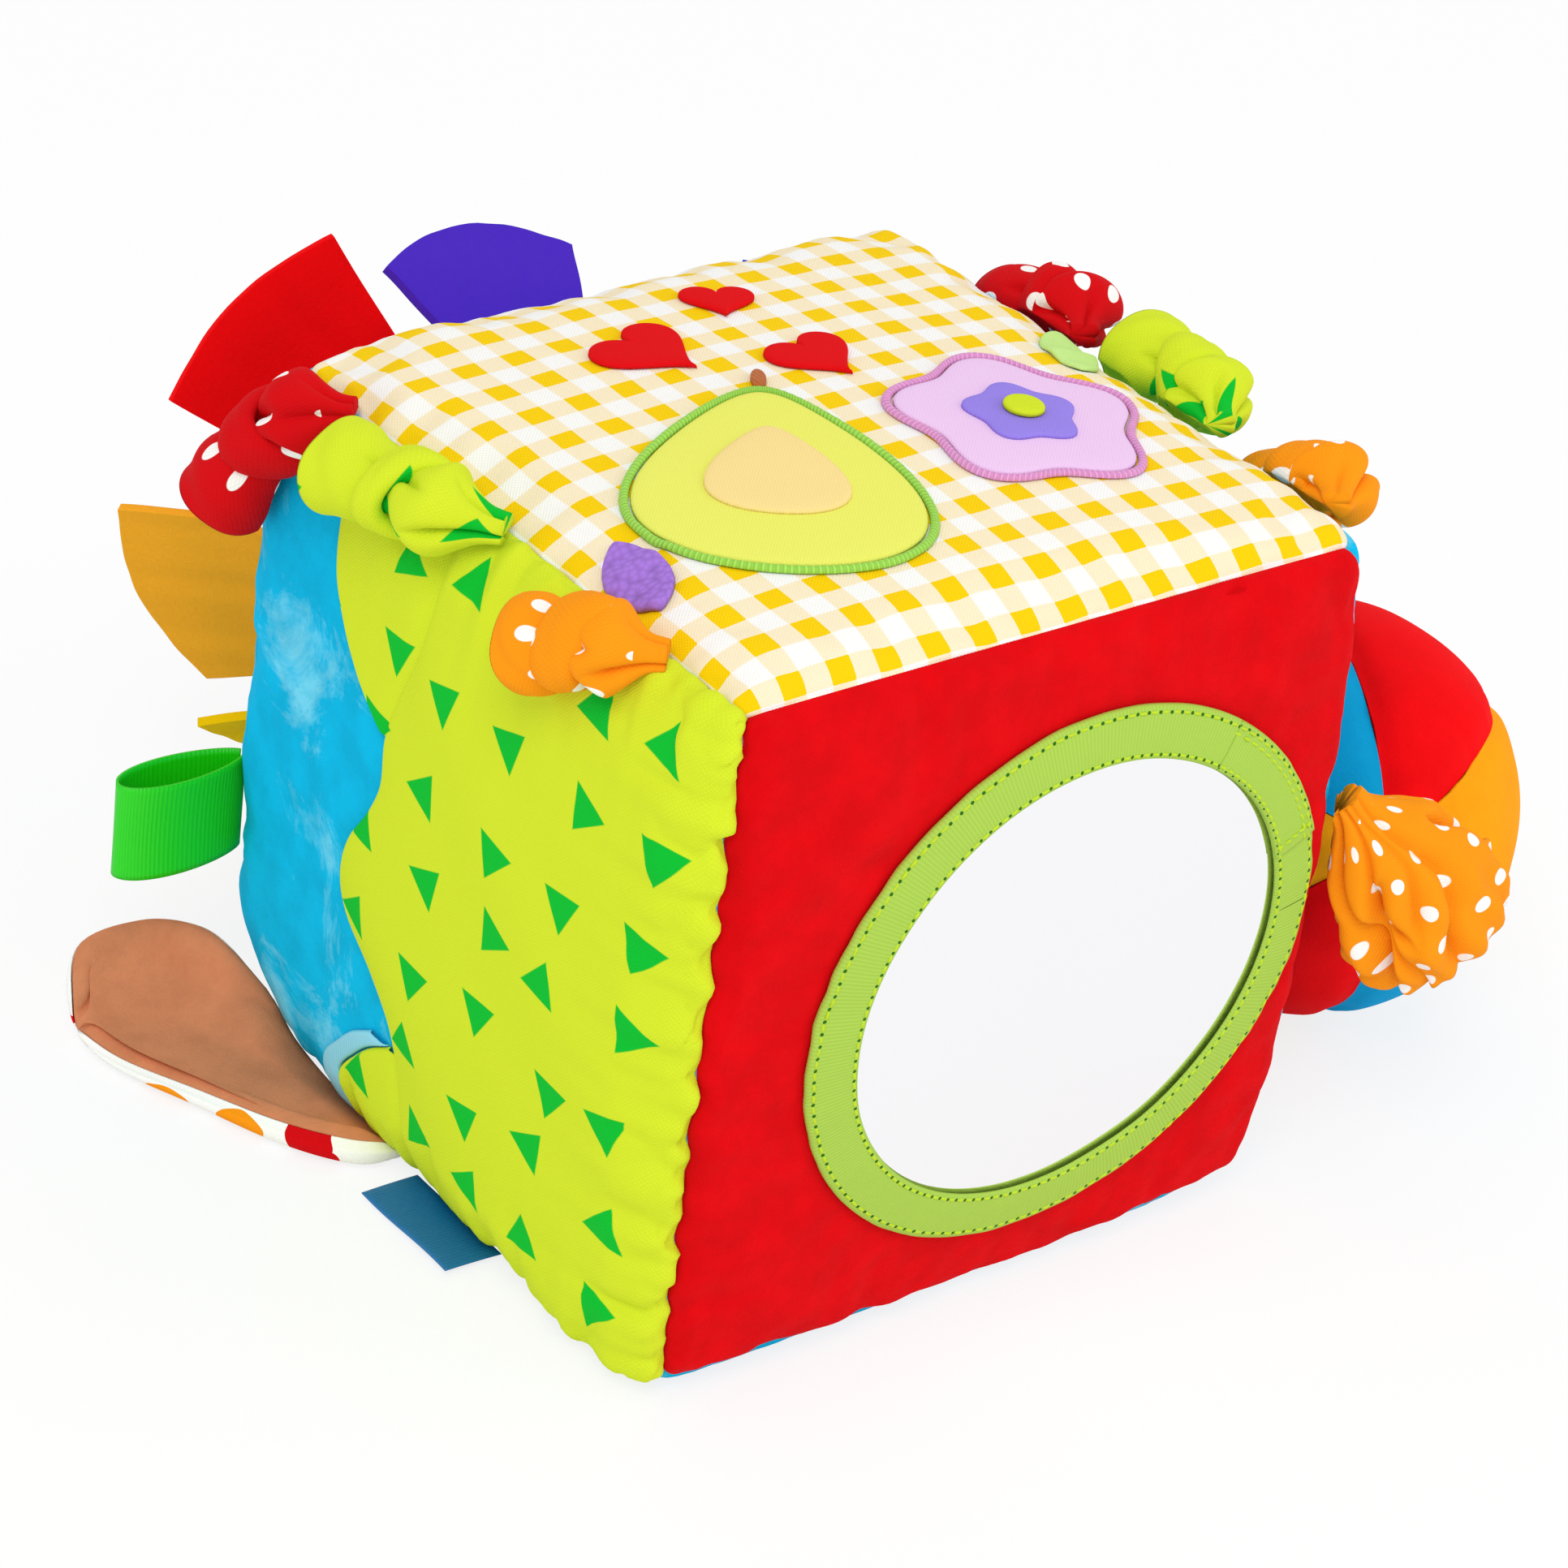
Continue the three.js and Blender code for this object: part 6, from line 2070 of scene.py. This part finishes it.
def ribbed(name, kind, colour, pitch):
    """Fine lines across the cloth."""
    material, tree = blank(name)
    across, _ = parts_of(tree, flat_cloth(tree))
    return finish(material, kind, colour, wave_of(tree, across, pitch))


def satin(name, colour):
    """Satin weave: long floats give a soft directed gloss and fine lines."""
    return ribbed(name, "satin", colour, sizes().thread_pitch)


def satin_stitch(name, colour):
    """Machine satin stitch: close shiny threads laid side by side."""
    return ribbed(name, "satin_stitch", colour, SATIN_PITCH)


def woven_tape(stitch_step, rows):
    """Woven polyester tape: fine ribs across its width with shade painted in their hollows, and dark shade painted
    in the needle hole at each stitch's end.
    """
    material, tree = blank("woven green tape")
    cloth = flat_cloth(tree)
    along, across = parts_of(tree, cloth)
    wave = wave_of(tree, along, sizes().thread_pitch)
    # The tape is painted darker in the hollows between its ribs, as shade, and darker at random, as mottle
    rib_shade_and_mottle = calc(tree, "ADD", wave, noise(tree, "tape_mottle", cloth))
    colour = shade_of(tree, paint("tape"), TAPE_SHADE, rib_shade_and_mottle)
    phase = calc(tree, "FRACT", calc(tree, "MULTIPLY", along, 1 / stitch_step))
    beside = calc(tree, "MULTIPLY", calc(tree, "SUBTRACT", phase, 0.5), stitch_step)
    # Painted shade: a dark spot in the needle hole at each stitch of every row
    for row in rows:
        above = calc(tree, "SUBTRACT", across, row)
        away = steer(tree, "LENGTH", add(tree, "CombineXYZ", {0: beside, 1: above}))
        hole = calc(tree, "LESS_THAN", (away, "Value"), NEEDLE_HOLE_RADIUS)
        colour = dye(tree, hole, colour, paint("needle_hole_shade"))
    return finish(material, "tape", colour, wave)


def mirror_film():
    """Metallised polyester film: a safe soft mirror, nearly clear of haze."""
    material, tree = blank("mirror film")
    haze = noise(tree, "mirror_haze", flat_cloth(tree))
    rough = ramp(tree, haze, 0, 1, *MIRROR_ROUGHNESS)
    return finish(material, "mirror", fixed(MIRROR_COLOUR), haze, Roughness=rough)


def dress_insides():
    """Finishes the hidden foam, rattle and filling, which keep their frame shapes."""
    looks = {
        "rattle": grained("moulded polypropylene", "plastic", fixed(PLASTIC_COLOUR), "plastic_grain"),
        "filling": grained("polyester fibre filling", "filling", fixed(FILLING_COLOUR), "filling_strands"),
        "foam": hidden_foam(),
    }
    for name, node in frame["nodes"].items():
        for part, look in looks.items():
            if part in name:
                for slot in node.material_slots:
                    slot.material = look


# Stage

FLOOR_SIZE = 8
FLOOR_GAP = 0.1 * MM
FLOOR_GLOW_SHARE = 0.8
PAPER_COLOUR = "#FBFBFB"
WHITE = (1, 1, 1, 1)
LIGHTS = {
    "key_light": {"place": (-1.0, -0.9, 1.7), "size": 0.9, "power": 15},
    "fill_light": {"place": (1.3, -1.2, 0.9), "size": 1.4, "power": 7},
}
WORLD_STRENGTH = 0.75
CAMERA_NEAR = 10 * MM


def seen_directly(tree):
    """One for what the camera sees itself or in a gloss, and zero for light on the object."""
    path = add(tree, "LightPath")
    return calc(tree, "MAXIMUM", (path, "Is Camera Ray"), (path, "Is Glossy Ray"))


def make_floor():
    """A floor of pale paper that keeps the object's shadow."""
    floor = start_piece("floor", bpy.ops.mesh.primitive_plane_add, size=FLOOR_SIZE)
    points = points_of(floor)
    points[:, 2] = cad_box[0][2] - FLOOR_GAP
    put_points(floor, points)
    material, tree = blank("pale paper floor")
    paper = add(tree, "BsdfDiffuse", {"Color": fixed(PAPER_COLOUR)})
    glow = add(tree, "Emission", {"Color": WHITE, "Strength": 1})
    share = calc(tree, "MULTIPLY", seen_directly(tree), FLOOR_GLOW_SHARE)
    surface = add(tree, "MixShader", {"Fac": share, 1: paper, 2: glow})
    add(tree, "OutputMaterial", {"Surface": surface})
    floor.data.materials.append(material)


def make_stage():
    """Pale floor, soft light and the camera of the photograph."""
    scene = bpy.context.scene
    scene.view_settings.view_transform = "Standard"
    make_floor()
    middle = (Vector(cad_box[0]) + Vector(cad_box[1])) / 2
    for name, light in LIGHTS.items():
        bpy.ops.object.light_add(type="AREA", location=light["place"])
        lamp = bpy.context.object
        lamp.name = name
        lamp.data.size = light["size"]
        lamp.data.energy = light["power"]
        lamp.rotation_euler = (middle - lamp.location).to_track_quat("-Z", "Y").to_euler()
    world = bpy.data.worlds.new("white studio")
    world.use_nodes = True
    sky = world.node_tree
    sky.nodes.clear()
    ends = {"To Min": WORLD_STRENGTH, "To Max": 1}
    strength = add(sky, "MapRange", {"Value": seen_directly(sky), **ends})
    back = add(sky, "Background", {"Color": WHITE, "Strength": strength})
    add(sky, "OutputWorld", {"Surface": back})
    scene.world = world
    bpy.ops.object.camera_add(location=CAMERA_PLACE)
    camera = bpy.context.object
    camera.rotation_euler = [math.radians(turn) for turn in CAMERA_TURN]
    camera.data.lens = CAMERA_LENS
    camera.data.sensor_width = CAMERA_SENSOR
    camera.data.clip_start = CAMERA_NEAR
    scene.camera = camera


# The add-on


class CUBE_OT_stage(Operator):
    """Sets the floor, the lights and the camera"""

    bl_idname = "activity_cube.stage"
    bl_label = "Stage"

    def execute(self, context):
        make_stage()
        return {"FINISHED"}


class CUBE_OT_cover(Operator):
    """Sews and fills the six panels of the cube"""

    bl_idname = "activity_cube.cover"
    bl_label = "Cover"

    def execute(self, context):
        make_cover()
        return {"FINISHED"}


class CUBE_OT_mirror(Operator):
    """Adds the mirror film, its tape and stitches"""

    bl_idname = "activity_cube.mirror"
    bl_label = "Mirror and tape"

    def execute(self, context):
        make_mirror()
        return {"FINISHED"}


class CUBE_OT_hills(Operator):
    """Adds the stuffed hills of the left panel"""

    bl_idname = "activity_cube.hills"
    bl_label = "Hills"

    def execute(self, context):
        make_hills()
        return {"FINISHED"}


class CUBE_OT_pictures(Operator):
    """Adds the sewn pictures of the top panel"""

    bl_idname = "activity_cube.pictures"
    bl_label = "Sewn pictures"

    def execute(self, context):
        make_pictures()
        return {"FINISHED"}


class CUBE_OT_tails(Operator):
    """Adds the six gathered tails"""

    bl_idname = "activity_cube.tails"
    bl_label = "Tails"

    def execute(self, context):
        make_tails()
        return {"FINISHED"}


class CUBE_OT_puff(Operator):
    """Adds the gathered puff"""

    bl_idname = "activity_cube.puff"
    bl_label = "Puff"

    def execute(self, context):
        make_puff()
        return {"FINISHED"}


class CUBE_OT_ball(Operator):
    """Adds the stuffed ball and its tape"""

    bl_idname = "activity_cube.ball"
    bl_label = "Ball"

    def execute(self, context):
        make_ball()
        return {"FINISHED"}


class CUBE_OT_petals(Operator):
    """Adds the petals and their hub"""

    bl_idname = "activity_cube.petals"
    bl_label = "Petals"

    def execute(self, context):
        make_petals()
        return {"FINISHED"}


class CUBE_OT_ribbon(Operator):
    """Adds the ribbon loop"""

    bl_idname = "activity_cube.ribbon"
    bl_label = "Ribbon loop"

    def execute(self, context):
        make_ribbon()
        return {"FINISHED"}


class CUBE_OT_ear(Operator):
    """Adds the plush ear and its lining"""

    bl_idname = "activity_cube.ear"
    bl_label = "Ear"

    def execute(self, context):
        make_ear()
        return {"FINISHED"}


class CUBE_OT_label(Operator):
    """Adds the bare side label"""

    bl_idname = "activity_cube.label"
    bl_label = "Side label"

    def execute(self, context):
        make_label()
        return {"FINISHED"}


class CUBE_OT_insides(Operator):
    """Finishes the hidden foam, rattle and filling"""

    bl_idname = "activity_cube.insides"
    bl_label = "Insides"

    def execute(self, context):
        dress_insides()
        return {"FINISHED"}


OPERATORS = (
    CUBE_OT_stage, CUBE_OT_cover, CUBE_OT_mirror, CUBE_OT_hills, CUBE_OT_pictures, CUBE_OT_tails,
    CUBE_OT_puff, CUBE_OT_ball, CUBE_OT_petals, CUBE_OT_ribbon, CUBE_OT_ear, CUBE_OT_label,
    CUBE_OT_insides,
)


class CUBE_PT_panel(Panel):
    """Lists the steps in the sidebar"""

    bl_label = "Activity Cube"
    bl_idname = "CUBE_PT_panel"
    bl_space_type = "VIEW_3D"
    bl_region_type = "UI"
    bl_category = "Activity Cube"

    def draw(self, context):
        for operator in OPERATORS:
            self.layout.operator(operator.bl_idname)


CLASSES = (CubeSizes, CubeColours, *OPERATORS, CUBE_PT_panel)


def register():
    for kind in CLASSES:
        bpy.utils.register_class(kind)
    bpy.types.Scene.cube_sizes = PointerProperty(type=CubeSizes)
    bpy.types.Scene.cube_colours = PointerProperty(type=CubeColours)


def unregister():
    del bpy.types.Scene.cube_colours
    del bpy.types.Scene.cube_sizes
    for kind in reversed(CLASSES):
        bpy.utils.unregister_class(kind)


def main():
    """Makes the whole cube."""
    register()
    for operator in OPERATORS:
        group, name = operator.bl_idname.split(".")
        getattr(getattr(bpy.ops, group), name)()


if __name__ == "__main__":
    main()
